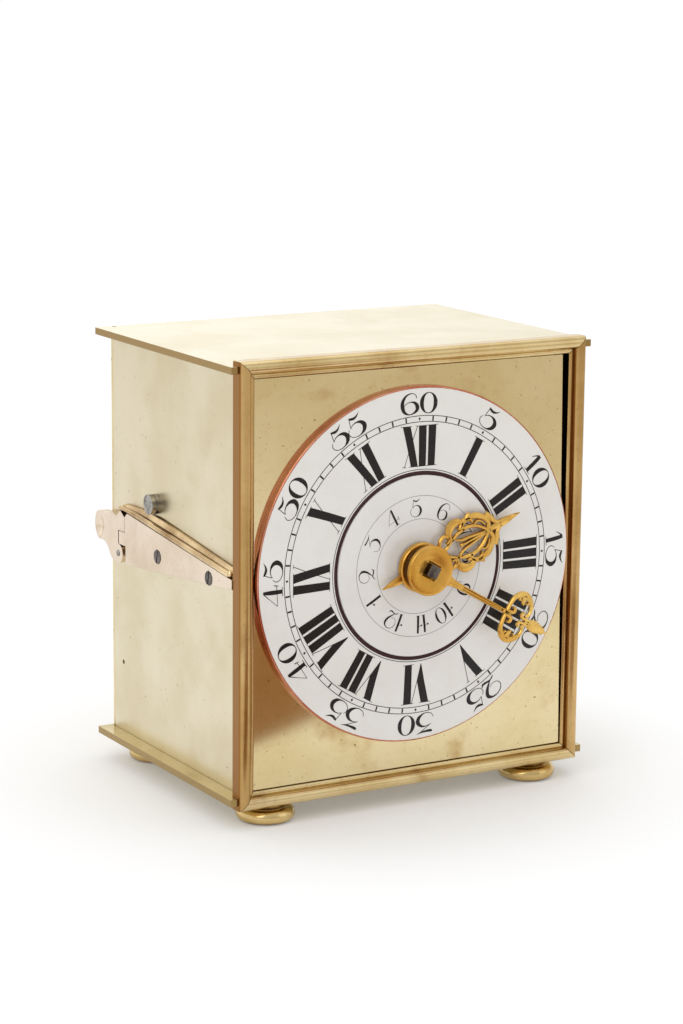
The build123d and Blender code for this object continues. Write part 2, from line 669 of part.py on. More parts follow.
def balance():
    """Balance wheel and staff, its spring, the cock outside the back plate and a bracket inside."""
    rim = Circle(11.0) - Circle(9.6) + Circle(1.6)
    rim += Rectangle(20, 1.3) - Circle(0.7)
    wheel = prism(rim - Circle(0.7), (-12.4, -11.2))
    write("balance_wheel", face(Pos(*BALANCE) * wheel))
    staff = rod(0.7, (-14.9, -1.6)) + rod(0.3, (-16.9, 0.4))
    write("balance_staff", face(Pos(*BALANCE) * staff))
    spring = prism(spiral_face(1.7, 5.4, 4, 0.15), (-14.2, -13.6))
    spring += rod(0.7, (-15.0, -13.6), polar(5.45, 0))
    write("balance_spring", face(Pos(*BALANCE) * Rot(0, 0, 160) * spring))
    foot = polar(15.0, 160)
    cock = rod(2.6, (-17.0, -15.0)) + bar((0, 0), foot, 4.0, (-17.0, -15.0))
    cock += rod(3.6, (-17.0, BACK_PLATE[0]), foot)
    cock -= rod(0.33, (-18, -14))
    write("balance_cock", face(Pos(*BALANCE) * cock))
    bracket = bar((0, 0), (5.6, 0), 3.2, (-1.4, 0.6))
    bracket += rod(1.6, (BACK_PLATE[1], 0.6), (5.6, 0))
    bracket -= rod(0.33, (-3, 2))
    write("balance_bracket", face(Pos(*BALANCE) * bracket))


def motion_work():
    """The wheels between the front plate and the dial that drive the hour hand."""
    minute_turn = phase(CENTRE, CANNON_LEAVES, 0, MINUTE, MINUTE_TEETH)
    wheel = prism(gear_face(MINUTE_TEETH, MINUTE_MODULE, WHEEL_TOOTH), (24.7, 26.3), turn=minute_turn)
    wheel += prism(gear_face(MINUTE_LEAVES, HOUR_MODULE, LEAF_TOOTH), (26.3, 29.9))
    write("minute_wheel", face(Pos(*MINUTE) * (wheel - rod(1.0 + RUN, (20, 35)))))
    hour_turn = phase(MINUTE, MINUTE_LEAVES, 0, CENTRE, HOUR_TEETH)
    hour = prism(gear_face(HOUR_TEETH, HOUR_MODULE, WHEEL_TOOTH), (28.3, 29.5), turn=hour_turn)
    hour += rod(3.0, (28.3, 42.5))
    write("hour_wheel", face(hour - rod(1.95, (27, 44))))


def alarm_train():
    """The alarm's escape wheel, its hammer, the bell on a post, and the let-off lever."""
    scape_turn = phase(ALARM, ALARM_TEETH, 0, SCAPE, ALARM_LEAVES)
    wheel = prism(ratchet_face(8.0, 6.6, 14) - crossings(2.2, 5.6, 3, 1.3), (2.0, 3.2))
    train_wheel(
        "alarm_scape_wheel", SCAPE, wheel, 0, (ALARM_LEAVES, ALARM_MODULE, (17.0, 20.0)), scape_turn
    )
    head = polar(27.0, math.degrees(math.atan2(HAMMER[1] - BELL[1], HAMMER[0])) + 32.4, BELL)
    hammer = rod(1.0, (-25.5, FRONT_PLATE[1] - 0.1), HAMMER)
    hammer += rod(1.7, (2.0, 3.2), HAMMER) + rod(2.2, (-25.5, -24.0), HAMMER)
    hammer += bar(HAMMER, head, 1.4, (-25.5, -24.0)) + rod(1.7, (-26.0, -22.5), head)
    write("hammer", face(hammer))
    rim, crown, wall = -21.0, -32.0, 1.2
    outer = Wire(
        [
            Line((BELL_RADIUS, rim), (BELL_RADIUS, rim - 4.5)),
            ThreePointArc((BELL_RADIUS, rim - 4.5), (20.0, crown + 1.6), (10.0, crown)),
            Line((10.0, crown), (1.5, crown)),
            Line((1.5, crown), (1.5, crown + wall)),
            Line((1.5, crown + wall), (10.0, crown + wall)),
            ThreePointArc(
                (10.0, crown + wall), (19.2, crown + 2.6), (BELL_RADIUS - wall, rim - 4.2)
            ),
            Line((BELL_RADIUS - wall, rim - 4.2), (BELL_RADIUS - wall, rim)),
            Line((BELL_RADIUS - wall, rim), (BELL_RADIUS, rim)),
        ]
    )
    write("bell", face(Pos(*BELL) * revolve(make_face(Plane.XZ * outer), Axis.Z)))
    post = rod(2.4, (crown + wall, BACK_PLATE[0]), BELL) + rod(1.5, (-34.0, -20), BELL)
    write("bell_post", face(post + rod(3.0, (-33.6, crown), BELL)))
    nose = polar(7.85, -60)
    lever = bar(DETENT, nose, 2.4, DETENT_LEVELS) + rod(2.6, DETENT_LEVELS, DETENT)
    lever += bar(DETENT, (27.0, -1.0), 2.0, DETENT_LEVELS)
    write("alarm_detent", face(lever - rod(1.2 + RUN, (30, 35), DETENT)))


# ---------------------------------------------------------------- side lever
def side_face(outline, levels):
    """A shape on the left side. Its outline is in (-y, z); levels count outward from the panel."""
    return LEFT_SIDE.location * prism(outline, levels)


def side_polygon(points):
    return make_face(Polyline(*[(-y, z) for y, z in points], close=True))


def side_lever():
    """Tapered bracket, leaf spring, pivoted thumb lever, pin, stop stud and two screws."""
    thick = SIDE_OUT - PANEL_OUT
    pivot = (-LEVER_PIVOT[0], LEVER_PIVOT[1])
    bracket = side_polygon(
        [
            (-34.9, 60.5), (-34.9, 62.95), (23.3, 68.8), (24.75, 67.6), (24.75, 63.4),
            (28.2, 63.4), (28.2, 59.9), (24.3, 59.9), (24.3, 55.1),
        ]
    )
    bracket -= Pos(*pivot) * Circle(TANG_RADIUS + 0.15)
    plate = side_face(bracket, (0, thick))
    for y, z in SIDE_SCREWS:
        plate -= side_face(Pos(-y, z) * Circle(SIDE_SCREW_HEAD), (thick - 0.7, thick + 1))
        plate -= side_face(Pos(-y, z) * Circle(SIDE_SCREW_SHANK), (-1, thick + 1))
    write("side_bracket", plate)
    screws = []
    for y, z in SIDE_SCREWS:
        screw = side_face(Pos(-y, z) * Circle(SIDE_SCREW_SHANK), (-2.6, thick - 0.7))
        screw += side_face(Pos(-y, z) * Circle(SIDE_SCREW_HEAD - 0.05), (thick - 0.7, thick + 0.15))
        cut = Pos(-y, z) * Rot(0, 0, 80) * Rectangle(6, 0.55)
        screws.append(screw - side_face(cut, (thick - 0.25, thick + 1)))
    write("bracket_screws", Compound(screws))
    lever = Wire(
        [
            Line((-24.9, 63.55), (-24.9, 67.4)),
            Line((-24.9, 67.4), (-27.4, 68.9)),
            Line((-27.4, 68.9), (-30.1, 67.0)),
            Line((-30.1, 67.0), (-32.9, 68.0)),
            ThreePointArc((-32.9, 68.0), (-35.4, 66.9), (-38.2, 66.6)),
            ThreePointArc((-38.2, 66.6), (-43.4, 62.9), (-39.6, 58.9)),
            ThreePointArc((-39.6, 58.9), (-36.0, 58.6), (-34.2, 57.0)),
            ThreePointArc((-34.2, 57.0), (-32.2, 55.2), (-28.7, LEVER_PIVOT[1] - TANG_RADIUS)),
            ThreePointArc(
                (-28.7, LEVER_PIVOT[1] - TANG_RADIUS),
                (-28.7 + TANG_RADIUS, LEVER_PIVOT[1]),
                (-28.7, LEVER_PIVOT[1] + TANG_RADIUS),
            ),
            Line((-28.7, LEVER_PIVOT[1] + TANG_RADIUS), (-28.7, 63.55)),
            Line((-28.7, 63.55), (-24.9, 63.55)),
        ]
    )
    blade = side_face(make_face(lever), (0.1, thick))
    blade -= side_face(Pos(*pivot) * Circle(SIDE_PIN + RUN), (-1, thick + 1))
    write("side_lever", blade)
    pin = side_face(Pos(*pivot) * Circle(SIDE_PIN), (-1.5, thick + 0.1))
    write("lever_pin", pin)
    stud_at = Pos(-STUD_AT[0], STUD_AT[1])
    stud = side_face(stud_at * Circle(SIDE_PIN), (-1.5, 0)) + side_face(stud_at * Circle(2.6), (0, 1.15))
    stud += side_face(stud_at * Circle(2.3), (1.15, 1.4)) + side_face(stud_at * Circle(2.6), (1.4, 2.6))
    write("stop_stud", stud)
    under = [(28.4, 69.4), (23.0, 69.05), (-34.9, 63.15)]
    outer = under + [(-34.9, 64.4), (7.5, 68.7), (18.5, 69.8), (28.4, 70.2)]
    inner = under + [(-34.9, 64.7), (7.5, 70.3), (18.5, 70.8), (28.4, 70.4)]
    inner_face = LEFT_SIDE.offset(0.05).location * side_polygon(inner)
    outer_face = LEFT_SIDE.offset(thick).location * side_polygon(outer)
    write("lever_spring", loft([inner_face, outer_face], ruled=True))


os.makedirs("parts", exist_ok=True)
case_box()
front_frame()
dial_plate()
feet()
rear_door()
dial()
alarm_disc()
minute_hand()
hour_hand()
movement_plates()
winding()
centre_arbor()
going_train()
balance()
motion_work()
alarm_train()
side_lever()
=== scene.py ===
import math

import bmesh
import bpy
from mathutils import Matrix, Vector


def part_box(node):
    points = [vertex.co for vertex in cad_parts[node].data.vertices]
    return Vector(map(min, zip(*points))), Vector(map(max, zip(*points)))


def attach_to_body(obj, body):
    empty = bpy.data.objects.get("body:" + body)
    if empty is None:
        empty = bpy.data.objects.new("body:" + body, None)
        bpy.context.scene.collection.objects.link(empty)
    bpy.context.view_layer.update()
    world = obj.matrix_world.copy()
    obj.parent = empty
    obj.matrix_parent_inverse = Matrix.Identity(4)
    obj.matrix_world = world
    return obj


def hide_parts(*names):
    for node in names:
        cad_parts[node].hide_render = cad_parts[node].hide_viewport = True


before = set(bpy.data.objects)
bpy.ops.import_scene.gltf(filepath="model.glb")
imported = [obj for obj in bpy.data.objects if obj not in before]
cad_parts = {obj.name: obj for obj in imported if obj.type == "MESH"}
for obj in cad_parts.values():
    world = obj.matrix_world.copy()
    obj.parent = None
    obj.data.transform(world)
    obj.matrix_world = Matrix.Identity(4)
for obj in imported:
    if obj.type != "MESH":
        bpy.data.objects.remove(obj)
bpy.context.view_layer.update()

# A brass travelling clock. Shapes below are written in millimetres in one of two local frames:
# the face (u right, v up, w toward the viewer) and a hand (along, across, w).
MM = 0.001


def centre_of(node):
    low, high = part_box(node)
    return (low + high) / 2


# ---- sizes from the frame
ENAMEL_LOW, ENAMEL_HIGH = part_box("dial_enamel")
DIAL_CENTRE = (ENAMEL_LOW + ENAMEL_HIGH) / 2
ENAMEL_RADIUS = (ENAMEL_HIGH.x - ENAMEL_LOW.x) / 2 / MM
DISC_LOW, DISC_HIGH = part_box("alarm_disc")
DISC_RADIUS = (DISC_HIGH.x - DISC_LOW.x) / 2 / MM
RIM_GAP = 0.5
DIAL_HOLE = DISC_RADIUS + RIM_GAP
CROWN_LEVEL = -ENAMEL_LOW.y / MM
DISC_LEVEL = -DISC_LOW.y / MM
DOME_DROP = 0.4
PAINT_LIFT = 0.035
MINUTE_LOW, MINUTE_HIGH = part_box("minute_hand")
HOUR_LOW, HOUR_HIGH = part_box("hour_hand")
MINUTE_FRONT = -MINUTE_LOW.y / MM
MINUTE_BACK = -MINUTE_HIGH.y / MM
HOUR_FRONT = -HOUR_LOW.y / MM
HOUR_BACK = -HOUR_HIGH.y / MM
MINUTE_ANGLE = 120.0
HOUR_ANGLE = 68.5
ALARM_SETTING = 208.0


def face_point(u, v, w):
    """A point of the face in the part's frame, in metres."""
    return Vector((DIAL_CENTRE.x + u * MM, -w * MM, DIAL_CENTRE.z + v * MM))


def enamel_level(radius):
    """Height of the domed enamel at a radius."""
    out = (radius - DIAL_HOLE) / (ENAMEL_RADIUS - DIAL_HOLE)
    return CROWN_LEVEL - DOME_DROP * min(max(out, 0.0), 1.0) ** 2


# ---- mesh helpers
CURVE_STEPS = 6


def add_mesh(name, points, faces, material, smooth=False):
    mesh = bpy.data.meshes.new(name)
    mesh.from_pydata(points, [], faces)
    mesh.update()
    mesh.shade_smooth() if smooth else mesh.shade_flat()
    mesh.materials.append(material)
    made = bpy.data.objects.new(name, mesh)
    bpy.context.scene.collection.objects.link(made)
    return made


def smooth_by_angle(piece, degrees=35.0):
    """Shades a mesh smooth except across its hard edges."""
    piece.data.shade_smooth()
    piece.data.set_sharp_from_angle(angle=math.radians(degrees))
    return piece


def attach(piece, body, instead_of=None):
    """Puts a piece on its body, in place of a CAD node where one is named."""
    if instead_of:
        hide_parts(instead_of)
    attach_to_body(piece, body)


def tidy(piece):
    """Merges doubled points and turns every face outward."""
    work = bmesh.new()
    work.from_mesh(piece.data)
    bmesh.ops.remove_doubles(work, verts=work.verts, dist=1e-7)
    bmesh.ops.recalc_face_normals(work, faces=work.faces)
    work.to_mesh(piece.data)
    work.free()
    return piece


def catmull(points, steps):
    """A smooth path through points of any number of values each."""
    count = len(points)
    path = []
    for i in range(count - 1):
        a, b, c, d = points[max(i - 1, 0)], points[i], points[i + 1], points[min(i + 2, count - 1)]
        for k in range(steps):
            t = k / steps
            path.append(
                tuple(
                    0.5 * (2 * q + (r - p) * t + (2 * p - 5 * q + 4 * r - s) * t**2
                           + (3 * q - p - 3 * r + s) * t**3)
                    for p, q, r, s in zip(a, b, c, d)
                )
            )
    path.append(tuple(points[-1]))
    return path


def sides_of(path):
    """Left and right edge points of a path of (x, y, width)."""
    left, right = [], []
    count = len(path)
    for i, (x, y, width) in enumerate(path):
        before = path[max(i - 1, 0)]
        after = path[min(i + 1, count - 1)]
        dx, dy = after[0] - before[0], after[1] - before[1]
        length = math.hypot(dx, dy) or 1.0
        nx, ny = -dy / length, dx / length
        half = max(width, 0.0) / 2
        left.append((x + nx * half, y + ny * half))
        right.append((x - nx * half, y - ny * half))
    return left, right


# ---- lettering
# Each digit is one or more pen strokes of (x, y, width), in a box one unit tall.
# A width that swells and thins gives the thick and hairline parts.
def oval_stroke(x, y, rx, ry, thin, thick, start=0.0):
    stroke = []
    for k in range(28):
        turn = start + 2 * math.pi * k / 28
        swell = abs(math.cos(turn)) ** 2.2
        stroke.append((x + rx * math.cos(turn), y + ry * math.sin(turn), thin + (thick - thin) * swell))
    return stroke + [stroke[0]]


SIX = [
    (0.34, 0.74, 0.05), (0.3, 0.9, 0.03), (0.1, 0.985, 0.04), (-0.16, 0.9, 0.09), (-0.34, 0.66, 0.17),
    (-0.37, 0.4, 0.2), (-0.29, 0.15, 0.15), (-0.08, 0.02, 0.05), (0.14, 0.05, 0.07), (0.32, 0.18, 0.16),
    (0.35, 0.36, 0.2), (0.24, 0.53, 0.12), (0.04, 0.59, 0.04), (-0.16, 0.54, 0.03), (-0.3, 0.42, 0.02),
]
DIGITS = {
    "0": (0.96, [oval_stroke(0, 0.5, 0.34, 0.48, 0.035, 0.21)]),
    "1": (0.56, [
        [(-0.3, 0.62, 0.02), (-0.2, 0.82, 0.05), (-0.07, 0.97, 0.1)],
        [(-0.05, 0.99, 0.17), (-0.01, 0.6, 0.2), (0.02, 0.01, 0.19)],
        [(-0.18, 0.01, 0.03), (0.22, 0.01, 0.03)],
    ]),
    "2": (0.9, [
        [(0.1, 0.44, 0.02), (-0.14, 0.36, 0.03), (-0.36, 0.46, 0.03), (-0.43, 0.66, 0.04),
         (-0.32, 0.88, 0.05), (-0.06, 0.99, 0.05), (0.22, 0.94, 0.1), (0.37, 0.76, 0.19),
         (0.3, 0.52, 0.18), (0.12, 0.31, 0.11), (-0.08, 0.14, 0.04), (-0.32, 0.0, 0.02)],
        [(-0.32, 0.0, 0.02), (-0.2, 0.1, 0.05), (-0.02, 0.13, 0.08), (0.16, 0.09, 0.11), (0.34, 0.08, 0.1),
         (0.42, 0.2, 0.02)],
    ]),
    "3": (0.88, [
        [(-0.34, 1.0, 0.03), (-0.3, 0.94, 0.13), (-0.08, 0.92, 0.11), (0.2, 0.94, 0.07), (0.42, 1.0, 0.01)],
        [(0.22, 0.93, 0.03), (-0.04, 0.76, 0.03), (-0.3, 0.59, 0.025)],
        [(-0.3, 0.59, 0.02), (-0.06, 0.67, 0.04), (0.18, 0.62, 0.12), (0.34, 0.42, 0.21), (0.28, 0.2, 0.17),
         (0.07, 0.04, 0.06), (-0.16, 0.01, 0.035), (-0.36, 0.1, 0.03), (-0.44, 0.27, 0.03)],
    ]),
    "4": (0.98, [
        [(0.09, 0.99, 0.13), (0.06, 0.6, 0.2), (0.04, 0.01, 0.19)],
        [(0.03, 0.95, 0.05), (-0.24, 0.66, 0.025), (-0.56, 0.29, 0.025)],
        [(-0.56, 0.29, 0.02), (0.34, 0.29, 0.03)],
        [(0.3, 0.18, 0.02), (0.35, 0.42, 0.05)],
        [(-0.16, 0.01, 0.03), (0.24, 0.01, 0.03)],
    ]),
    "5": (0.94, [
        [(-0.2, 0.98, 0.02), (-0.14, 0.92, 0.1), (0.03, 0.86, 0.12), (0.2, 0.9, 0.07), (0.36, 1.02, 0.01)],
        [(-0.18, 0.94, 0.035), (-0.27, 0.52, 0.03)],
        [(-0.27, 0.5, 0.02), (-0.15, 0.6, 0.035), (0.06, 0.63, 0.06), (0.27, 0.54, 0.15),
         (0.37, 0.34, 0.22), (0.28, 0.13, 0.17), (0.08, 0.02, 0.06), (-0.14, 0.01, 0.035),
         (-0.36, 0.11, 0.03), (-0.45, 0.31, 0.035), (-0.36, 0.5, 0.02)],
    ]),
    "6": (0.9, [SIX]),
    "7": (0.84, [
        [(-0.36, 0.82, 0.02), (-0.32, 0.93, 0.1), (-0.1, 0.95, 0.11), (0.14, 0.91, 0.08), (0.4, 0.97, 0.03)],
        [(0.4, 0.97, 0.03), (0.14, 0.6, 0.1), (0.0, 0.3, 0.18), (-0.04, 0.01, 0.2)],
    ]),
    "8": (0.9, [
        [(0.02, 0.54, 0.13), (-0.2, 0.68, 0.12), (-0.24, 0.86, 0.06), (0.0, 0.985, 0.035), (0.24, 0.88, 0.05),
         (0.2, 0.7, 0.04), (-0.02, 0.54, 0.035), (-0.28, 0.38, 0.05), (-0.36, 0.2, 0.07),
         (-0.22, 0.04, 0.045), (0.04, 0.01, 0.045), (0.3, 0.12, 0.13), (0.32, 0.32, 0.17),
         (0.02, 0.54, 0.13)],
    ]),
    "9": (0.9, [[(-x, 1 - y, width) for x, y, width in SIX]]),
    "i": (0.5, [
        [(0.04, 1.0, 0.19), (0.02, 0.5, 0.22), (0.02, 0.01, 0.22)],
        [(-0.3, 0.56, 0.16), (-0.17, 0.58, 0.13)],
        [(-0.14, 0.59, 0.03), (0.0, 0.7, 0.03)],
        [(-0.12, 0.01, 0.03), (0.16, 0.01, 0.03)],
    ]),
}


class Lettering:
    """Painted shapes on the face, gathered into one mesh that follows the surface below it."""

    def __init__(self, level):
        self.level = level
        self.points = []
        self.faces = []

    def put(self, radius, degrees, across):
        """A point at a radius, a clockwise angle from 12, and a shift along the tangent."""
        turn = math.radians(degrees)
        u = radius * math.sin(turn) + across * math.cos(turn)
        v = radius * math.cos(turn) - across * math.sin(turn)
        self.points.append(face_point(u, v, self.level(math.hypot(u, v)) + PAINT_LIFT))
        return len(self.points) - 1

    def strip(self, left, right, place):
        """Quads between two edges. place turns a local point into (radius, degrees, across)."""
        a = [self.put(*place(*point)) for point in left]
        b = [self.put(*place(*point)) for point in right]
        for i in range(len(a) - 1):
            self.faces.append((a[i], a[i + 1], b[i + 1], b[i]))

    def digits(self, text, degrees, base, tall, stretch=1.0, weight=1.0):
        """Digits standing on a circle with their feet to the centre."""
        middle = base + tall / 2
        total = sum(DIGITS[c][0] for c in text) * tall * stretch
        start = -total / 2
        for c in text:
            wide, strokes = DIGITS[c]
            shift = start + wide * tall * stretch / 2
            angle = degrees + math.degrees(shift / middle)
            start += wide * tall * stretch
            for stroke in strokes:
                pen = [(x * stretch, y, width * weight) for x, y, width in stroke]
                left, right = sides_of(catmull(pen, CURVE_STEPS))
                self.strip(left, right, lambda x, y, angle=angle: (base + y * tall, angle, x * tall))

    def ring(self, radius, width, segments=240):
        for k in range(segments):
            angles = (360 * k / segments, 360 * (k + 1) / segments)
            corners = [self.put(radius + width / 2 * side, angle, 0)
                       for side, angle in ((-1, angles[0]), (1, angles[0]), (1, angles[1]), (-1, angles[1]))]
            self.faces.append(tuple(corners))

    def tick(self, degrees, inner, outer, width):
        self.strip([(inner, -width / 2), (outer, -width / 2)], [(inner, width / 2), (outer, width / 2)],
                   lambda radius, across: (radius, degrees, across))

    def diamond(self, degrees, radius, size):
        """A small pointed dot."""
        corners = ((radius - size, 0), (radius, -size * 0.8), (radius + size, 0), (radius, size * 0.8))
        self.faces.append(tuple(self.put(r, degrees, across) for r, across in corners))

    def build(self, name, material, body):
        piece = add_mesh(name, self.points, self.faces, material)
        attach(piece, body)


# ---- roman hours
ROMAN_FOOT = 25.4
ROMAN_TALL = 10.2
ROMAN_THICK = 2.12
ROMAN_GAP = 0.58
HAIRLINE = 0.16
SERIF = 0.6
SERIF_HALF = 0.006
SPLAY = 0.05
HOURS = ["XII", "I", "II", "III", "IIII", "V", "VI", "VII", "VIII", "IX", "X", "XI"]
V_WIDE = 4.85
V_MEET = 0.46
X_WIDE = 4.15


def roman_bars(text):
    """Bars of (foot left, foot right, head left, head right, bottom, top) and the numeral's width."""
    bars = []
    at = 0.0
    thick, thin = ROMAN_THICK, HAIRLINE
    for letter in text:
        if letter == "I":
            bars.append((at, at + thick, at, at + thick, 0, 1))
            left, right = at - SERIF, at + thick + SERIF
            bars.append((left, right, left, right, -SERIF_HALF, SERIF_HALF))
            bars.append((left, right, left, right, 1 - SERIF_HALF, 1 + SERIF_HALF))
            at += thick + ROMAN_GAP
        elif letter == "V":
            foot = at + thick
            split = at + thick * (1 - V_MEET)
            bars.append((split, split + thick, at, at + thick, V_MEET, 1))
            bars.append((foot - 0.05, foot + 0.05, split, split + thick, 0, V_MEET))
            bars.append((foot, foot + thin, at + V_WIDE - thin, at + V_WIDE, 0, 1))
            for left, right in ((-SERIF, thick + SERIF * 0.7), (V_WIDE - SERIF, V_WIDE + SERIF * 0.7)):
                bars.append((at + left, at + right, at + left, at + right, 1 - SERIF_HALF, 1 + SERIF_HALF))
            at += V_WIDE + 0.12
        else:
            bars.append((at + X_WIDE - thick, at + X_WIDE, at, at + thick, 0, 1))
            bars.append((at, at + thin, at + X_WIDE - thin, at + X_WIDE, 0, 1))
            for y, spans in ((0, ((-SERIF, SERIF), (X_WIDE - thick - SERIF, X_WIDE + SERIF * 0.6))),
                             (1, ((-SERIF, thick + SERIF * 0.6), (X_WIDE - SERIF, X_WIDE + SERIF * 0.7)))):
                for left, right in spans:
                    bars.append((at + left, at + right, at + left, at + right, y - SERIF_HALF, y + SERIF_HALF))
            at += X_WIDE + 0.3
    return bars, at - (ROMAN_GAP if text.endswith("I") else 0.2)


def paint_roman(ink, text, degrees):
    bars, wide = roman_bars(text)
    steps = 6
    for foot_left, foot_right, head_left, head_right, bottom, top in bars:
        left, right = [], []
        for k in range(steps + 1):
            t = k / steps
            y = bottom + (top - bottom) * t
            fan = 1 + SPLAY * (2 * y - 1)
            left.append(((foot_left + (head_left - foot_left) * t - wide / 2) * fan, y))
            right.append(((foot_right + (head_right - foot_right) * t - wide / 2) * fan, y))
        ink.strip(left, right, lambda x, y: (ROMAN_FOOT + y * ROMAN_TALL, degrees, x))


MINUTE_BASE, MINUTE_TALL, MINUTE_STRETCH = 38.6, 5.35, 1.1
DOT_RADIUS, DOT_SIZE = 37.35, 0.42
TICK_INNER, TICK_OUTER, TICK_WIDE = 36.75, 37.95, 0.42
DIAL_LINES = ((38.1, 0.17), (36.6, 0.17), (24.6, 0.16))
ALARM_BASE, ALARM_TALL, ALARM_STRETCH, ALARM_WEIGHT = 12.75, 4.6, 0.8, 0.62
ALARM_LINES = (18.0, 12.1)
ALARM_LINE_WIDE = 0.13


def dial_painting(material):
    """Arabic minutes, the minute track and the roman hours, in vitrified black."""
    ink = Lettering(enamel_level)
    for k in range(12):
        degrees = 30.0 * k
        ink.digits(str(5 * k or 60), degrees, MINUTE_BASE, MINUTE_TALL, MINUTE_STRETCH)
        paint_roman(ink, HOURS[k], degrees)
        ink.diamond(degrees, DOT_RADIUS, DOT_SIZE)
    for k in range(60):
        if k % 5:
            ink.tick(6.0 * k, TICK_INNER, TICK_OUTER, TICK_WIDE)
    for radius, width in DIAL_LINES:
        ink.ring(radius, width)
    ink.build("dial_numerals", material, "case")


def alarm_painting(material):
    """The alarm hours run round the turning disc between two fine circles."""
    ink = Lettering(lambda radius: DISC_LEVEL)
    for hour in range(1, 13):
        text = str(hour).replace("1", "i")
        wobble = 2.2 * math.sin(hour * 2.1)
        degrees = ALARM_SETTING + 30 * hour + wobble
        ink.digits(text, degrees, ALARM_BASE, ALARM_TALL, ALARM_STRETCH, ALARM_WEIGHT)
    ink.build("alarm_numerals", material, "alarm_disc")


def alarm_circles(material):
    """Two fine grey circles that hold the alarm hours between them."""
    ink = Lettering(lambda radius: DISC_LEVEL - 0.01)
    for radius in ALARM_LINES:
        ink.ring(radius, ALARM_LINE_WIDE)
    ink.build("alarm_circles", material, "alarm_disc")


def gap_ring(material, segments=240):
    """Dark sheet lining the narrow channel between the alarm disc and the dial's hole, with a lip onto the
    enamel: painted shade of the gap.
    """
    outline = [(DISC_RADIUS + 0.1, DISC_LEVEL - 0.55), (DIAL_HOLE - 0.03, DISC_LEVEL - 0.5),
               (DIAL_HOLE - 0.03, CROWN_LEVEL + 0.03), (DIAL_HOLE + 0.5, CROWN_LEVEL + 0.05),
               (DIAL_HOLE + 0.55, CROWN_LEVEL + 0.01)]
    points, faces = [], []
    for k in range(segments):
        turn = 2 * math.pi * k / segments
        for radius, level in outline:
            points.append(face_point(radius * math.sin(turn), radius * math.cos(turn), level))
    count = len(outline)
    for k in range(segments):
        one, two = k * count, (k + 1) % segments * count
        for i in range(count):
            j = (i + 1) % count
            faces.append((one + i, one + j, two + j, two + i))
    piece = smooth_by_angle(tidy(add_mesh("dial_channel_shade", points, faces, material)), 30)
    attach(piece, "case")


# ---- hands
def hand_point(along, across, level, degrees):
    turn = math.radians(degrees)
    u = along * math.sin(turn) - across * math.cos(turn)
    v = along * math.cos(turn) + across * math.sin(turn)
    return face_point(u, v, level)


def ribbon(points, faces, stroke, levels, degrees):
    """Adds one solid, crowned strip to a hand's mesh. stroke is (along, across, width)."""
    back, front = levels
    left, right = sides_of(catmull(stroke, CURVE_STEPS))
    rows = []
    shoulder = back + (front - back) * 0.62
    for (lx, ly), (rx, ry) in zip(left, right):
        mx, my = (lx + rx) / 2, (ly + ry) / 2
        row = [(lx, ly, back), (lx, ly, shoulder)]
        row.append((mx + (lx - mx) * 0.5, my + (ly - my) * 0.5, front))
        row.append((mx + (rx - mx) * 0.5, my + (ry - my) * 0.5, front))
        row += [(rx, ry, shoulder), (rx, ry, back)]
        start = len(points)
        points.extend(hand_point(x, y, w, degrees) for x, y, w in row)
        rows.append(list(range(start, start + len(row))))
    for one, two in zip(rows, rows[1:]):
        for k in range(len(one)):
            j = (k + 1) % len(one)
            faces.append((one[k], one[j], two[j], two[k]))
    faces.append(tuple(reversed(rows[0])))
    faces.append(tuple(rows[-1]))


def mirrored(strokes):
    return strokes + [[(x, -y, width) for x, y, width in stroke] for stroke in strokes]


HOUR_SIDE = [
    # rib from the hub to the bud
    [(5.4, 0.3, 1.6), (7.6, 0.9, 1.0), (9.2, 1.8, 0.8), (10.6, 2.6, 0.8)],
    # small scroll beside the hub
    [(6.2, 2.0, 0.8), (6.9, 3.6, 0.9), (8.2, 4.4, 0.9), (9.4, 3.8, 0.9), (9.4, 2.7, 0.8), (8.4, 2.4, 0.6)],
    # upper edge of the bud
    [(10.0, 2.3, 0.7), (12.4, 3.3, 0.95), (15.6, 3.6, 1.0), (18.4, 2.5, 0.95), (20.6, 0.4, 0.9)],
    # inner leaf of the bud
    [(10.8, 2.4, 0.5), (12.8, 1.3, 0.8), (15.6, 0.9, 0.8), (20.2, 0.2, 0.7)],
    # first shell lobe, ending in a drop
    [(10.0, 2.4, 0.8), (9.9, 4.3, 1.7), (11.3, 6.0, 2.2), (13.3, 6.2, 1.7), (14.5, 5.2, 1.2)],
    [(14.5, 5.3, 0.9), (13.4, 4.4, 1.0), (12.7, 4.6, 0.6)],
    # second lobe and its cusp
    [(14.2, 3.2, 0.9), (14.1, 4.7, 1.2), (15.4, 5.6, 1.4), (16.9, 5.3, 1.1), (17.2, 4.2, 0.7)],
    [(15.6, 5.6, 0.9), (16.7, 6.3, 1.2), (17.1, 7.0, 0.25)],
    # outer sweep back to the neck of the tip
    [(16.2, 5.7, 0.9), (18.6, 5.4, 1.6), (20.6, 3.9, 1.4), (21.6, 2.0, 1.2), (21.0, 0.2, 1.3)],
    [(17.3, 3.3, 0.6), (18.5, 3.9, 0.7), (19.6, 3.3, 0.7), (20.4, 1.9, 0.6)],
    # horn of the crescent
    [(21.4, 4.3, 1.7), (22.6, 2.8, 1.4), (23.3, 1.4, 1.1), (24.8, 0.4, 0.9)],
]
HOUR_AXIS = [
    [(12.0, 0.0, 1.2), (14.4, 0.0, 0.7), (21.0, 0.0, 1.2), (24.5, 0.0, 2.1), (27.6, 0.0, 1.5),
     (30.9, 0.0, 0.1)],
    [(-5.4, 0.0, 2.2), (-8.6, 0.0, 1.7), (-12.2, 0.0, 0.1)],
]
MINUTE_STEM = [(8.5, 0.0, 1.0), (18.0, 0.0, 0.9), (26.0, 0.0, 0.7)]
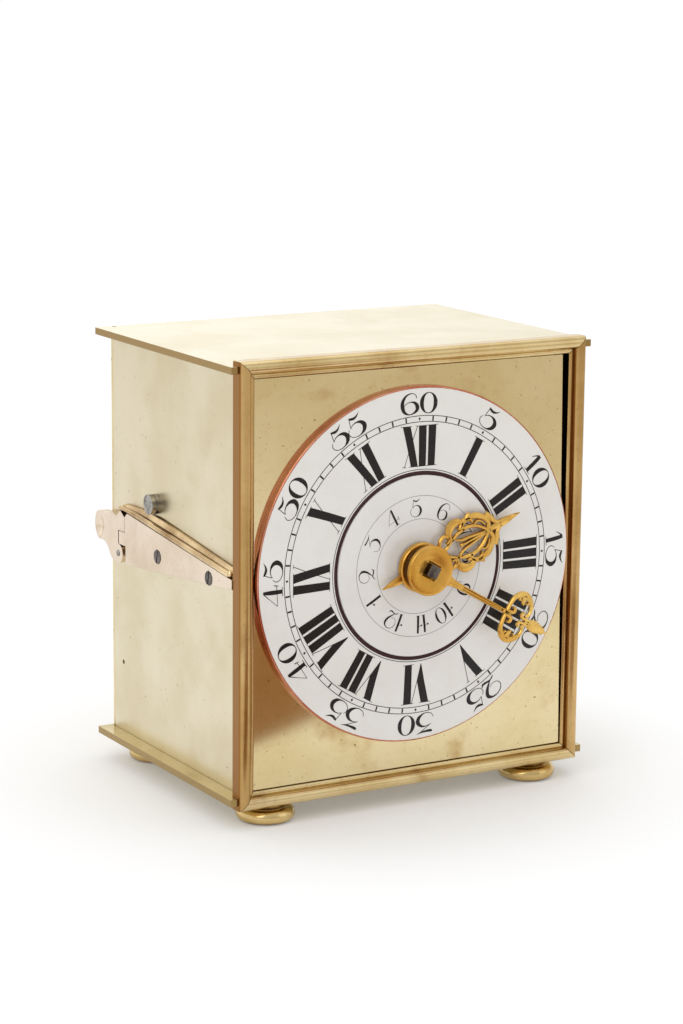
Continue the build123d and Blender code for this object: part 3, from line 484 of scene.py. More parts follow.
MINUTE_SIDE = [
    # raised edge of the grooved stem
    [(8.0, 0.65, 0.5), (11.0, 0.58, 0.42), (18.0, 0.52, 0.4), (25.8, 0.38, 0.4)],
    # the stem's end opens into two small scrolls
    [(25.8, 0.2, 1.1), (27.4, 0.5, 1.1), (28.5, 1.0, 1.0), (28.4, 1.8, 0.9), (27.6, 1.9, 0.6)],
    # frame of the pierced lobe
    [(26.4, 0.5, 0.9), (26.5, 2.4, 1.0), (26.9, 4.3, 1.2), (28.2, 5.7, 1.6), (29.9, 6.1, 1.7),
     (31.7, 5.3, 1.4), (32.9, 3.8, 1.1), (33.1, 2.2, 0.9), (32.4, 1.0, 0.9)],
    # drop that hangs into the opening
    [(29.6, 5.9, 1.5), (29.7, 4.9, 1.3), (29.9, 4.0, 0.9), (30.0, 3.5, 0.3)],
    [(28.1, 5.2, 0.7), (28.4, 4.5, 0.7), (28.9, 4.4, 0.4)],
    [(31.5, 4.9, 0.7), (31.2, 4.2, 0.7), (30.8, 4.2, 0.4)],
    # inner scroll by the leaf
    [(33.8, 0.4, 1.2), (32.6, 0.6, 1.0), (31.5, 0.7, 0.9), (31.1, 1.4, 0.8), (31.7, 1.9, 0.5)],
]
MINUTE_AXIS = [
    [(5.6, 0.0, 3.0), (8.0, 0.0, 1.9), (11.0, 0.0, 1.6)],
    [(25.0, 0.0, 1.2), (27.6, 0.0, 1.3)],
    [(32.6, 0.0, 0.6), (34.0, 0.0, 1.9), (35.6, 0.0, 2.9), (37.4, 0.0, 2.4), (40.5, 0.0, 0.1)],
]
LEAF_VEINS = 5
LEAF_START, LEAF_STEP = 34.2, 1.05
LEAF_REACH, LEAF_TAPER = 1.65, 0.24
HUB_RADIUS = 6.4
HAND_THICK = 0.8


def square_or_round(kind, size, turn, lean):
    """Distance from the centre to a circle or to a square turned by lean."""
    if kind == "round":
        return size
    side = math.radians(turn - lean)
    return size / max(abs(math.cos(side)), abs(math.sin(side)))


def collet(points, faces, rings, lean, segments=96):
    """A turned boss: closed rings of (kind, size, level), joined in order and back to the first."""
    start = len(points)
    for kind, size, level in rings:
        for k in range(segments):
            turn = 360 * k / segments
            reach = square_or_round(kind, size, turn, lean)
            points.append(hand_point(reach, 0, level, turn))
    count = len(rings)
    for i in range(count):
        j = (i + 1) % count
        for k in range(segments):
            m = (k + 1) % segments
            faces.append((start + i * segments + k, start + i * segments + m,
                          start + j * segments + m, start + j * segments + k))


def minute_hand(material):
    """Pierced gilt minute hand on a flat collet with a sunk square."""
    points, faces = [], []
    level = (MINUTE_BACK + 0.2, MINUTE_BACK + 0.2 + HAND_THICK)
    for stroke in MINUTE_AXIS + mirrored(MINUTE_SIDE):
        ribbon(points, faces, stroke, level, MINUTE_ANGLE)
    ribbon(points, faces, MINUTE_STEM, (level[0], level[1] - 0.35), MINUTE_ANGLE)
    for k in range(LEAF_VEINS):
        along = LEAF_START + LEAF_STEP * k
        reach = LEAF_REACH - LEAF_TAPER * abs(k - 1)
        for side in (-1, 1):
            vein = [(along - 0.2, 0.3 * side, 0.7), (along + 0.5, reach * 0.7 * side, 0.55),
                    (along + 0.75, reach * side, 0.2)]
            ribbon(points, faces, vein, (level[0], level[1] + 0.05), MINUTE_ANGLE)
    front = MINUTE_FRONT
    rings = [
        ("square", 1.5, MINUTE_BACK), ("square", 1.5, front - 0.75), ("square", 1.95, front - 0.7),
        ("square", 2.05, front - 0.12), ("round", 3.3, front - 0.1), ("round", 3.5, front - 0.02),
        ("round", 5.7, front), ("round", 6.1, front - 0.06), ("round", 6.32, front - 0.25),
        ("round", HUB_RADIUS, front - 0.5), ("round", HUB_RADIUS, MINUTE_BACK + 0.1),
        ("round", 6.25, MINUTE_BACK),
    ]
    collet(points, faces, rings, MINUTE_ANGLE)
    piece = smooth_by_angle(tidy(add_mesh("minute_hand_pierced", points, faces, material)))
    attach(piece, "centre", "minute_hand")


def hour_hand(material):
    """Pierced gilt hour hand: a shell round a bud, a crescent, a leaf tip and an alarm tail."""
    points, faces = [], []
    level = (HOUR_BACK + 0.7, HOUR_BACK + 0.7 + HAND_THICK)
    for stroke in HOUR_AXIS + mirrored(HOUR_SIDE):
        ribbon(points, faces, stroke, level, HOUR_ANGLE)
    base = HOUR_BACK
    rings = [
        ("round", 3.05, base), ("round", 3.05, base + 1.8), ("round", 4.6, base + 1.85),
        ("round", 5.8, base + 1.9), ("round", 6.2, base + 1.82), ("round", HUB_RADIUS, base + 1.6),
        ("round", HUB_RADIUS, base + 1.15), ("round", 6.2, base + 1.05), ("round", 6.2, base + 0.85),
        ("round", HUB_RADIUS, base + 0.75), ("round", HUB_RADIUS, base + 0.15), ("round", 6.25, base),
    ]
    collet(points, faces, rings, 0)
    piece = smooth_by_angle(tidy(add_mesh("hour_hand_pierced", points, faces, material)))
    attach(piece, "hour", "hour_hand")


def hour_spacer(material):
    """Grooved dark collet between the two hands."""
    points, faces = [], []
    base, top = HOUR_BACK + 1.85, HOUR_FRONT
    grooves = 4
    rings = [("round", 2.0, base), ("round", 5.5, base)]
    for k in range(grooves):
        low = base + (top - base) * k / grooves
        step = (top - base) / grooves
        rings += [("round", 5.6, low + step * 0.15), ("round", 5.6, low + step * 0.5),
                  ("round", 5.25, low + step * 0.65), ("round", 5.25, low + step * 0.95)]
    rings += [("round", 5.5, top), ("round", 2.0, top)]
    collet(points, faces, rings, 0)
    piece = smooth_by_angle(tidy(add_mesh("hour_spacer", points, faces, material)))
    attach(piece, "hour")


# ---- side lever
PANEL_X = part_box("left_side_panel")[0].x
LEVER_LOW, LEVER_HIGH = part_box("side_lever")
LEVER_FRONT = (PANEL_X - LEVER_LOW.x) / MM
LEVER_BACK = (PANEL_X - LEVER_HIGH.x) / MM
PIVOT = centre_of("lever_pin")
SPRING_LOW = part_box("lever_spring")[0]
SPRING_THICK = (PANEL_X - SPRING_LOW.x) / MM
TANG = 2.6
LEVER_CELL = 0.4
THUMB_AT = (11.9, 5.5)
THUMB_RADIUS = 3.9
THUMB_DEPTH = 0.95


def side_point(y, z, level):
    """A point on the left side: y rearward and z up from the lever's pivot, level out from the panel."""
    return Vector((PANEL_X - level * MM, PIVOT.y + y * MM, PIVOT.z + z * MM))


def arc_through(start, middle, end, steps=10):
    """Points of the arc through three points, without the last."""
    (ax, ay), (bx, by), (cx, cy) = start, middle, end
    d = 2 * (ax * (by - cy) + bx * (cy - ay) + cx * (ay - by))
    a, b, c = ax * ax + ay * ay, bx * bx + by * by, cx * cx + cy * cy
    x = (a * (by - cy) + b * (cy - ay) + c * (ay - by)) / d
    y = (a * (cx - bx) + b * (ax - cx) + c * (bx - ax)) / d
    first = math.atan2(ay - y, ax - x)
    sweep = (math.atan2(cy - y, cx - x) - first) % (2 * math.pi)
    passes = (math.atan2(by - y, bx - x) - first) % (2 * math.pi)
    if passes > sweep:
        sweep -= 2 * math.pi
    radius = math.hypot(ax - x, ay - y)
    turns = [first + sweep * k / steps for k in range(steps)]
    return [(x + radius * math.cos(turn), y + radius * math.sin(turn)) for turn in turns]


def lever_outline():
    """Clasp-shaped thumb lever, from the seam over the two peaks, round the lobe and under the tang."""
    outline = [(-3.8, 6.25), (-3.8, 10.1), (-1.3, 11.6), (1.4, 9.7)]
    outline += arc_through((4.2, 10.7), (6.7, 9.6), (9.5, 9.3))
    outline += arc_through((9.5, 9.3), (14.7, 5.6), (10.9, 1.6), 18)
    outline += arc_through((10.9, 1.6), (7.3, 1.3), (5.5, -0.3))
    outline += arc_through((5.5, -0.3), (3.5, -2.1), (0.0, -TANG))
    outline += arc_through((0.0, -TANG), (-TANG, 0.0), (0.0, TANG), 16)
    return outline + [(0.0, TANG), (0.0, 6.25)]


def lever_level(y, z):
    """Front surface of the lever: flat, with a thumb dish in the lobe and a slight crown."""
    away = math.hypot(y - THUMB_AT[0], z - THUMB_AT[1]) / THUMB_RADIUS
    dish = THUMB_DEPTH * (1 - away * away) ** 2 if away < 1 else 0.0
    return LEVER_FRONT - dish - 0.012 * max(y - 4.0, 0.0)


def cut_cells(work):
    """Cuts a flat face on the left side into small cells, so that a dish can be pressed into it."""
    cell = LEVER_CELL * MM
    for axis in (1, 2):
        span = [vert.co[axis] for vert in work.verts]
        cuts = int((max(span) - min(span)) / cell)
        normal = Vector((0, 0, 0))
        normal[axis] = 1.0
        for k in range(1, cuts + 1):
            point = PIVOT.copy()
            point[axis] = min(span) + k * cell
            bmesh.ops.bisect_plane(
                work, geom=work.verts[:] + work.edges[:] + work.faces[:], plane_co=point, plane_no=normal
            )


def side_lever(material):
    """Clasp-like lever with a thumb dish and softened edges."""
    work = bmesh.new()
    work.faces.new([work.verts.new(side_point(y, z, LEVER_FRONT)) for y, z in lever_outline()])
    cut_cells(work)
    grown = bmesh.ops.extrude_face_region(work, geom=list(work.faces))
    back = {item for item in grown["geom"] if isinstance(item, bmesh.types.BMVert)}
    for vert in work.verts:
        y, z = (vert.co.y - PIVOT.y) / MM, (vert.co.z - PIVOT.z) / MM
        vert.co.x = PANEL_X - (LEVER_BACK if vert in back else lever_level(y, z)) * MM
    bmesh.ops.recalc_face_normals(work, faces=work.faces)
    mesh = bpy.data.meshes.new("thumb_lever")
    work.to_mesh(mesh)
    work.free()
    mesh.materials.append(material)
    piece = bpy.data.objects.new("thumb_lever", mesh)
    bpy.context.scene.collection.objects.link(piece)
    round_off = piece.modifiers.new("round", "BEVEL")
    round_off.width = 0.16 * MM
    round_off.segments = 2
    round_off.limit_method = "ANGLE"
    round_off.angle_limit = math.radians(50)
    smooth_by_angle(piece, 40)
    attach(piece, "side_lever", "side_lever")


# Stations along the leaf spring: distance from its front end, then the heights of its
# underside, outer top and inner top above its lowest point.
SPRING_STATIONS = [
    (2.2, 0.15, 1.5, 1.9), (3.6, 0.3, 1.7, 2.3), (42.4, 4.32, 5.6, 7.1), (53.4, 5.45, 6.7, 7.6),
    (57.9, 5.9, 6.85, 7.5), (63.2, 6.25, 7.0, 7.2),
]


def spring_section(under, outer, inner):
    """A rounded bead along the outer edge, a groove, and a slope up to the panel."""
    thick = SPRING_THICK
    return [
        (thick, under), (thick, outer - 0.5), (thick - 0.12, outer - 0.15), (thick - 0.42, outer),
        (thick - 0.75, outer - 0.12), (thick - 0.9, outer - 0.5), (thick - 1.1, outer - 0.5),
        (thick - 1.2, outer - 0.12), (thick * 0.3, inner - 0.12), (0.25, inner), (0.08, inner - 0.1),
        (0.08, under),
    ]


def lever_spring(material):
    """The bar along the bracket's sloping edge, drawn through its stations."""
    points, faces, rows = [], [], []
    for one, two in zip(SPRING_STATIONS, SPRING_STATIONS[1:]):
        steps = 8
        last = two is SPRING_STATIONS[-1]
        for k in range(steps + (1 if last else 0)):
            t = k / steps
            along, under, outer, inner = (p + (q - p) * t for p, q in zip(one, two))
            row = []
            for level, height in spring_section(under, outer, inner):
                row.append(len(points))
                points.append(Vector((PANEL_X - level * MM, SPRING_LOW.y + along * MM,
                                      SPRING_LOW.z + height * MM)))
            rows.append(row)
    for one, two in zip(rows, rows[1:]):
        for k in range(len(one)):
            j = (k + 1) % len(one)
            faces.append((one[k], one[j], two[j], two[k]))
    faces += [tuple(rows[0]), tuple(reversed(rows[-1]))]
    piece = smooth_by_angle(tidy(add_mesh("lever_spring_bar", points, faces, material)), 38)
    attach(piece, "case", "lever_spring")


def spring_tip(material):
    """The bar's rounded front end."""
    radius, rings, segments = 0.95, 14, 28
    level = SPRING_THICK - radius
    centre = Vector((PANEL_X - level * MM, SPRING_LOW.y + 2.4 * MM, SPRING_LOW.z + 0.8 * MM))
    points, faces = [], []
    for i in range(rings + 1):
        lift = math.pi * i / rings
        for k in range(segments):
            turn = 2 * math.pi * k / segments
            side = Vector((math.sin(lift) * math.cos(turn), math.cos(lift),
                           math.sin(lift) * math.sin(turn)))
            points.append(centre + side * radius * MM)
    for i in range(rings):
        for k in range(segments):
            m = (k + 1) % segments
            low, high = i * segments, (i + 1) * segments
            faces.append((low + k, low + m, high + m, high + k))
    piece = smooth_by_angle(tidy(add_mesh("lever_spring_tip", points, faces, material)), 60)
    attach(piece, "case")


# ---- materials
def add_node(tree, kind, inputs=None, **settings):
    made = tree.nodes.new(kind)
    for name, value in settings.items():
        setattr(made, name, value)
    for name, value in (inputs or {}).items():
        if isinstance(value, bpy.types.NodeSocket):
            tree.links.new(value, made.inputs[name])
        else:
            made.inputs[name].default_value = value
    return made


def srgb(red, green, blue):
    """Linear colour from 0-255 display values."""
    def linear(value):
        value /= 255
        return value / 12.92 if value <= 0.04045 else ((value + 0.055) / 1.055) ** 2.4
    return linear(red), linear(green), linear(blue), 1.0


class Recipe:
    """One procedural material, with texture coordinates in millimetres of the part's frame."""

    def __init__(self, name):
        self.material = bpy.data.materials.new(name)
        self.material.use_nodes = True
        self.tree = self.material.node_tree
        self.tree.nodes.clear()
        place = add_node(self.tree, "ShaderNodeTexCoord").outputs["Object"]
        self.place = add_node(
            self.tree, "ShaderNodeMapping", {"Vector": place, "Scale": (1 / MM, 1 / MM, 1 / MM)}
        ).outputs["Vector"]
        self.shader = add_node(self.tree, "ShaderNodeBsdfPrincipled")
        out = add_node(self.tree, "ShaderNodeOutputMaterial")
        self.tree.links.new(self.shader.outputs["BSDF"], out.inputs["Surface"])

    def noise(self, scale, detail=3.0, rough=0.5, stretch=(1, 1, 1), shift=(0, 0, 0), warp=0.0):
        where = add_node(
            self.tree, "ShaderNodeMapping", {"Vector": self.place, "Scale": stretch, "Location": shift}
        ).outputs["Vector"]
        return add_node(
            self.tree, "ShaderNodeTexNoise",
            {"Vector": where, "Scale": scale, "Detail": detail, "Roughness": rough, "Distortion": warp},
        ).outputs["Fac"]

    def ramp(self, value, low, high, start=0.0, end=1.0):
        """A value remapped smoothly and clamped."""
        return add_node(
            self.tree, "ShaderNodeMapRange",
            {"Value": value, "From Min": low, "From Max": high, "To Min": start, "To Max": end},
            interpolation_type="SMOOTHSTEP",
        ).outputs["Result"]

    def blend(self, factor, one, two):
        made = add_node(self.tree, "ShaderNodeMix", data_type="RGBA")
        for index, value in ((0, factor), (6, one), (7, two)):
            if isinstance(value, bpy.types.NodeSocket):
                self.tree.links.new(value, made.inputs[index])
            else:
                made.inputs[index].default_value = value
        return made.outputs[2]

    def math(self, operation, one, two):
        return add_node(
            self.tree, "ShaderNodeMath", {0: one, 1: two}, operation=operation
        ).outputs[0]

    def edge(self, radius):
        """How close a point is to a hard edge, 0 to 1, and the rounded normal there."""
        soft = add_node(self.tree, "ShaderNodeBevel", {"Radius": radius * MM}, samples=6).outputs["Normal"]
        true = add_node(self.tree, "ShaderNodeNewGeometry").outputs["Normal"]
        dot = add_node(self.tree, "ShaderNodeVectorMath", {0: soft, 1: true}, operation="DOT_PRODUCT")
        return self.ramp(dot.outputs["Value"], 0.995, 0.8), soft

    def bump(self, height, depth, normal=None):
        inputs = {"Height": height, "Distance": depth * MM, "Strength": 1.0}
        if normal is not None:
            inputs["Normal"] = normal
        return add_node(self.tree, "ShaderNodeBump", inputs).outputs["Normal"]

    def set(self, **values):
        names = {"colour": "Base Color", "rough": "Roughness", "metal": "Metallic", "normal": "Normal",
                 "coat": "Coat Weight", "coat_rough": "Coat Roughness", "specular": "Specular IOR Level",
                 "tint": "Specular Tint"}
        for name, value in values.items():
            socket = self.shader.inputs[names[name]]
            if isinstance(value, bpy.types.NodeSocket):
                self.tree.links.new(value, socket)
            else:
                socket.default_value = value
        return self.material


def metal(name, base, deep, pale, rough=0.22, tarnish=0.5, speck=0.5, wave=0.012, grain=(1, 1, 1),
          seed=0.0, bevel=0.25, edge_wear_and_highlight=0.35, crevice_shade=0.0, side_shade=None):
    """Aged polished metal: drifting tone, blotches of tarnish, specks, fine rubbing and bright edges (rubbed
    wear, and where strong a painted highlight), with optional painted shade in crevices and on side faces.
    """
    mat = Recipe(name)
    shift = (seed, seed * 1.7, -seed)
    drift = mat.ramp(mat.noise(0.045, 4.0, 0.55, shift=shift), 0.32, 0.68)
    colour = mat.blend(drift, base, pale)
    cloud = mat.noise(0.055, 5.0, 0.55, shift=(seed + 7, seed, seed + 3), warp=0.25)
    stain = mat.math("MULTIPLY", mat.ramp(cloud, 0.55, 0.78), tarnish)
    colour = mat.blend(stain, colour, deep)
    fine = mat.ramp(mat.noise(0.5, 5.0, 0.65, shift=(3, seed, 1)), 0.5, 0.8)
    colour = mat.blend(mat.math("MULTIPLY", fine, 0.35 * tarnish), colour, deep)
    dots = mat.noise(1.1, 2.0, 0.5, shift=(seed, 3, 5))
    spots = mat.math("MULTIPLY", mat.ramp(dots, 0.7, 0.76), speck)
    colour = mat.blend(spots, colour, tuple(0.35 * c for c in deep[:3]) + (1.0,))
    near, soft = mat.edge(bevel)
    # Painted shade: faces turned along the given axis are blended towards a darker tone, standing in for the
    # shade on the sides.
    if side_shade:
        axis, start, end, tone = side_shade
        facing = add_node(mat.tree, "ShaderNodeNewGeometry").outputs["True Normal"]
        along = add_node(mat.tree, "ShaderNodeVectorMath", {0: facing, 1: axis}, operation="DOT_PRODUCT")
        amount = mat.math("ABSOLUTE", along.outputs["Value"], 0.0)
        colour = mat.blend(mat.ramp(amount, start, end), colour, tone)
    # Edges are lightened towards the pale tone: rubbed-edge wear, and where the amount is high, as on the
    # lever spring, a painted highlight.
    colour = mat.blend(mat.math("MULTIPLY", near, edge_wear_and_highlight), colour, pale)
    # Painted shade: an ambient occlusion mask darkens crevices, joints and recesses towards a deep brown.
    if crevice_shade:
        corner = add_node(mat.tree, "ShaderNodeAmbientOcclusion", {"Distance": 1.6 * MM}, samples=6)
        occluded_shade = mat.math("MULTIPLY", mat.ramp(corner.outputs["AO"], 0.75, 0.2), crevice_shade)
        colour = mat.blend(occluded_shade, colour, tuple(0.4 * c for c in deep[:3]) + (1.0,))
    rub = mat.noise(2.2, 4.0, 0.7, stretch=grain, shift=shift)
    shine = mat.math("ADD", mat.ramp(rub, 0.25, 0.8, rough * 0.8, rough * 1.25),
                     mat.math("MULTIPLY", stain, 0.18))
    wavy = mat.noise(0.09, 2.0, 0.4, shift=shift)
    height = mat.math("ADD", wavy, mat.math("MULTIPLY", rub, 0.05))
    return mat.set(colour=colour, rough=shine, metal=1.0, normal=mat.bump(height, wave, soft))


def enamel(name, base, shade, drift=0.5):
    """Glassy white enamel: a faint mottle, pin holes, orange-peel ripple and a clear coat."""
    mat = Recipe(name)
    mottle = mat.ramp(mat.noise(0.12, 5.0, 0.6), 0.35, 0.75)
    colour = mat.blend(mat.math("MULTIPLY", mottle, drift), base, shade)
    pits = mat.ramp(mat.noise(2.6, 1.0, 0.4, shift=(4, 1, 9)), 0.78, 0.83)
    colour = mat.blend(mat.math("MULTIPLY", pits, 0.5), colour, srgb(120, 105, 95))
    ripple = mat.noise(0.35, 2.0, 0.4)
    rough = mat.ramp(mat.noise(0.5, 3.0, 0.6), 0.3, 0.8, 0.12, 0.24)
    return mat.set(colour=colour, rough=rough, metal=0.0, specular=0.5, coat=0.4, coat_rough=0.06,
                   normal=mat.bump(ripple, 0.02))


def vitreous_ink(name, dark, worn, patchy=0.35):
    """Fired black: slightly brown where it was laid on thin."""
    mat = Recipe(name)
    thin = mat.ramp(mat.noise(1.1, 4.0, 0.6), 0.45, 0.8)
    colour = mat.blend(mat.math("MULTIPLY", thin, patchy), dark, worn)
    grit = mat.noise(6.0, 2.0, 0.5)
    return mat.set(colour=colour, rough=mat.ramp(grit, 0.3, 0.7, 0.22, 0.4), metal=0.0, specular=0.35,
                   normal=mat.bump(grit, 0.006))


def steel(name, base, deep, rough):
    mat = Recipe(name)
    cloud = mat.ramp(mat.noise(0.5, 5.0, 0.6), 0.35, 0.75)
    colour = mat.blend(cloud, base, deep)
    near, soft = mat.edge(0.15)
    colour = mat.blend(mat.math("MULTIPLY", near, 0.5), colour, srgb(190, 188, 182))
    rub = mat.noise(5.0, 3.0, 0.6)
    return mat.set(colour=colour, rough=mat.ramp(rub, 0.3, 0.7, rough * 0.7, rough * 1.3), metal=1.0,
                   normal=mat.bump(rub, 0.006, soft))


# Metals: name, base, tarnished and pale tones in display values, and the settings of metal().
# In the settings below, the darkening of crevices and of side faces is painted shade, and the lever spring's
# strong edge brightening is a painted highlight.
METALS = {
    "panel": ("brass_side_panel", (217, 205, 172), (188, 160, 110), (228, 218, 192),
              dict(rough=0.34, tarnish=0.14, speck=0.5, seed=2.0)),
    "dial_plate": ("brass_dial_plate", (219, 199, 149), (178, 134, 64), (228, 211, 167),
                   dict(rough=0.12, tarnish=0.65, speck=0.7, seed=11.0, wave=0.008)),
    "plate": ("brass_top_plate", (228, 218, 184), (188, 158, 108), (237, 230, 204),
              dict(rough=0.24, tarnish=0.12, speck=0.35, seed=5.0,
                   side_shade=((0, 0, 1), 0.6, 0.3, srgb(164, 136, 86)))),
    "base": ("brass_base_plate", (196, 178, 124), (128, 98, 54), (214, 198, 150),
             dict(rough=0.24, tarnish=0.4, speck=0.5, seed=6.0, crevice_shade=0.8,
                  side_shade=((0, 0, 1), 0.6, 0.3, srgb(164, 138, 88)))),
    "upright": ("brass_frame_uprights", (178, 142, 86), (132, 84, 44), (206, 172, 116),
                dict(rough=0.22, tarnish=0.6, speck=0.4, seed=19.0, bevel=0.1, crevice_shade=0.15,
                     side_shade=((1, 0, 0), 0.8, 0.95, srgb(152, 106, 52)))),
    "frame": ("brass_frame", (206, 178, 122), (150, 104, 58), (226, 204, 154),
              dict(rough=0.22, tarnish=0.7, speck=0.5, seed=23.0, bevel=0.1, crevice_shade=0.15)),
    "door": ("brass_door", (220, 202, 154), (165, 125, 70), (234, 220, 180),
             dict(rough=0.3, tarnish=0.25, speck=0.6, seed=31.0)),
    "feet": ("brass_feet", (208, 176, 112), (140, 96, 50), (234, 210, 156),
             dict(rough=0.18, tarnish=0.5, speck=0.3, seed=17.0, crevice_shade=0.7)),
    "lever": ("brass_lever", (216, 196, 172), (158, 122, 90), (234, 218, 198),
              dict(rough=0.24, tarnish=0.3, speck=0.4, seed=8.0, wave=0.005, crevice_shade=0.8)),
    "spring": ("brass_lever_spring", (152, 116, 66), (84, 56, 28), (238, 212, 168),
               dict(rough=0.2, tarnish=0.7, speck=0.3, seed=41.0, wave=0.003, crevice_shade=0.9, bevel=0.14,
                    edge_wear_and_highlight=0.9)),
    "movement": ("brass_movement", (210, 178, 106), (150, 110, 58), (230, 204, 140),
                 dict(rough=0.3, tarnish=0.4, speck=0.3, seed=13.0)),
    "gilt": ("gilt_hands", (214, 158, 66), (148, 88, 34), (246, 206, 116),
             dict(rough=0.3, tarnish=0.55, speck=0.3, seed=3.0, wave=0.003, bevel=0.1, crevice_shade=0.8)),
    "spacer": ("dark_collet", (96, 66, 38), (44, 28, 18), (150, 108, 60),
               dict(rough=0.4, tarnish=0.7, speck=0.3, seed=9.0, wave=0.003)),
    "copper": ("copper_rim", (190, 104, 80), (118, 54, 38), (238, 174, 146),
               dict(rough=0.24, tarnish=0.5, speck=0.3, seed=29.0)),
    "bell": ("bell_metal", (206, 190, 150), (130, 112, 80), (226, 214, 182),
             dict(rough=0.24, tarnish=0.5, speck=0.3, seed=37.0)),
}
STEELS = {
    "steel": ("polished_steel", (172, 168, 162), (96, 90, 86), 0.13),
    "dark_steel": ("dark_steel", (112, 104, 100), (54, 46, 44), 0.28),
    "blue": ("spring_steel", (92, 100, 128), (56, 60, 84), 0.25),
}
ENAMELS = {
    "enamel": ("white_enamel", (232, 229, 225), (222, 217, 210)),
    "disc": ("white_enamel_disc", (230, 227, 223), (219, 214, 208)),
}
INKS = {
    "ink": ("black_numerals", (20, 16, 16), (48, 34, 30)),
    # Painted shade: the dark maroon that lines the gap round the alarm disc.
    "gap_shade": ("painted_gap_shade", (54, 20, 24), (84, 40, 40)),
    "faint": ("grey_circles", (150, 146, 144), (180, 176, 172)),
}


def make_materials():
    made = {}
    for key, (name, base, deep, pale, settings) in METALS.items():
        made[key] = metal(name, srgb(*base), srgb(*deep), srgb(*pale), **settings)
    for key, (name, base, deep, rough) in STEELS.items():
        made[key] = steel(name, srgb(*base), srgb(*deep), rough)
    for key, (name, base, shade) in ENAMELS.items():
        made[key] = enamel(name, srgb(*base), srgb(*shade))
    for key, (name, dark, worn) in INKS.items():
        made[key] = vitreous_ink(name, srgb(*dark), srgb(*worn))
    return made


MATERIAL_OF = {
    "panel": ["left_side_panel", "right_side_panel"],
    "dial_plate": ["dial_plate"],
    "plate": ["top_plate"],
    "base": ["base_plate"],
    "upright": ["front_frame_left", "front_frame_right"],
    "frame": ["front_frame_top", "front_frame_bottom"],
    "door": ["rear_door", "door_knob"],
    "feet": ["feet"],
    "lever": ["side_bracket", "side_lever"],
    "spring": ["lever_spring"],
    "copper": ["dial_base"],
    "enamel": ["dial_enamel"],
    "disc": ["alarm_disc"],
    "gilt": ["minute_hand", "hour_hand"],
    "bell": ["bell"],
    "steel": ["stop_stud", "lever_pin", "foot_nuts"],
    "dark_steel": ["centre_arbor", "bracket_screws", "pillar_screws", "click", "alarm_click",
                   "balance_staff", "barrel_arbor", "alarm_arbor", "hammer", "bell_post",
                   "ratchet_wheel"],
    "blue": ["balance_spring", "going_barrel_spring", "alarm_barrel_spring", "click_springs"],
}


def finish_nodes(materials):
    """Gives every carried-over node its material. What isn't named is movement brass."""
    chosen = {node: kind for kind, nodes in MATERIAL_OF.items() for node in nodes}
    for name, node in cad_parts.items():
        node.data.materials.clear()
        node.data.materials.append(materials[chosen.get(name, "movement")])


# ---- studio
CAMERA_AT = Vector((-0.3715, -0.64155, 0.2229))
CAMERA_AIM = Vector((0.001772, 0.00405, 0.068177))
CAMERA_ROLL = math.radians(0.518)
LENS = 102.06
SENSOR = 36.0
LIGHT_AIM = Vector((0, 0, 0.06))
# Square soft lights: name, place, side and power.
LIGHTS = [
    ("key", (-0.9, -0.5, 0.9), 0.9, 3.2),
    ("top", (0.1, 0.2, 1.2), 1.2, 2.2),
    ("fill", (0.9, -0.9, 0.6), 0.8, 0.8),
]


def make_camera():
    data = bpy.data.cameras.new("camera")
    data.sensor_width = SENSOR
    data.lens = LENS
    data.clip_start, data.clip_end = 0.02, 100.0
    camera = bpy.data.objects.new("camera", data)
    bpy.context.scene.collection.objects.link(camera)
    ahead = (CAMERA_AIM - CAMERA_AT).normalized()
    level = ahead.cross(Vector((0, 0, 1))).normalized()
    upright = level.cross(ahead)
    right = level * math.cos(CAMERA_ROLL) + upright * math.sin(CAMERA_ROLL)
    up = right.cross(ahead)
    turn = Matrix((right, up, -ahead)).transposed()
    camera.matrix_world = Matrix.Translation(CAMERA_AT) @ turn.to_4x4()
    bpy.context.scene.camera = camera


def make_light(name, at, size, power):
    data = bpy.data.lights.new(name, "AREA")
    data.shape = "SQUARE"
    data.size = size
    data.energy = power
    lamp = bpy.data.objects.new(name, data)
    bpy.context.scene.collection.objects.link(lamp)
    lamp.location = at
    lamp.rotation_mode = "QUATERNION"
    lamp.rotation_quaternion = (LIGHT_AIM - Vector(at)).to_track_quat("-Z", "Y")


def make_world():
    """A white room, darkest in front of the clock and brightest straight behind it."""
    world = bpy.data.worlds.new("studio")
    world.use_nodes = True
    tree = world.node_tree
    tree.nodes.clear()
    ray = add_node(tree, "ShaderNodeLightPath").outputs["Is Camera Ray"]
    side = add_node(tree, "ShaderNodeTexCoord").outputs["Generated"]
    split = add_node(tree, "ShaderNodeSeparateXYZ", {0: side})
    ahead = add_node(
        tree, "ShaderNodeMapRange",
        {"Value": split.outputs["Y"], "From Min": -1.0, "From Max": 1.0, "To Min": 0.6, "To Max": 1.0},
    ).outputs["Result"]
    behind = add_node(
        tree, "ShaderNodeMapRange",
        {"Value": split.outputs["Y"], "From Min": 0.75, "From Max": 0.95, "To Min": 0.0, "To Max": 0.32},
    ).outputs["Result"]
    strength = add_node(tree, "ShaderNodeMath", {0: ahead, 1: behind}, operation="ADD").outputs[0]
    room = add_node(tree, "ShaderNodeBackground", {"Color": (1.0, 0.985, 0.96, 1), "Strength": strength})
    clear = add_node(tree, "ShaderNodeBackground", {"Color": (1, 1, 1, 1), "Strength": 1.0})
    mix = add_node(tree, "ShaderNodeMixShader", {0: ray, 1: room.outputs[0], 2: clear.outputs[0]})
    out = add_node(tree, "ShaderNodeOutputWorld")
    tree.links.new(mix.outputs[0], out.inputs["Surface"])
    bpy.context.scene.world = world


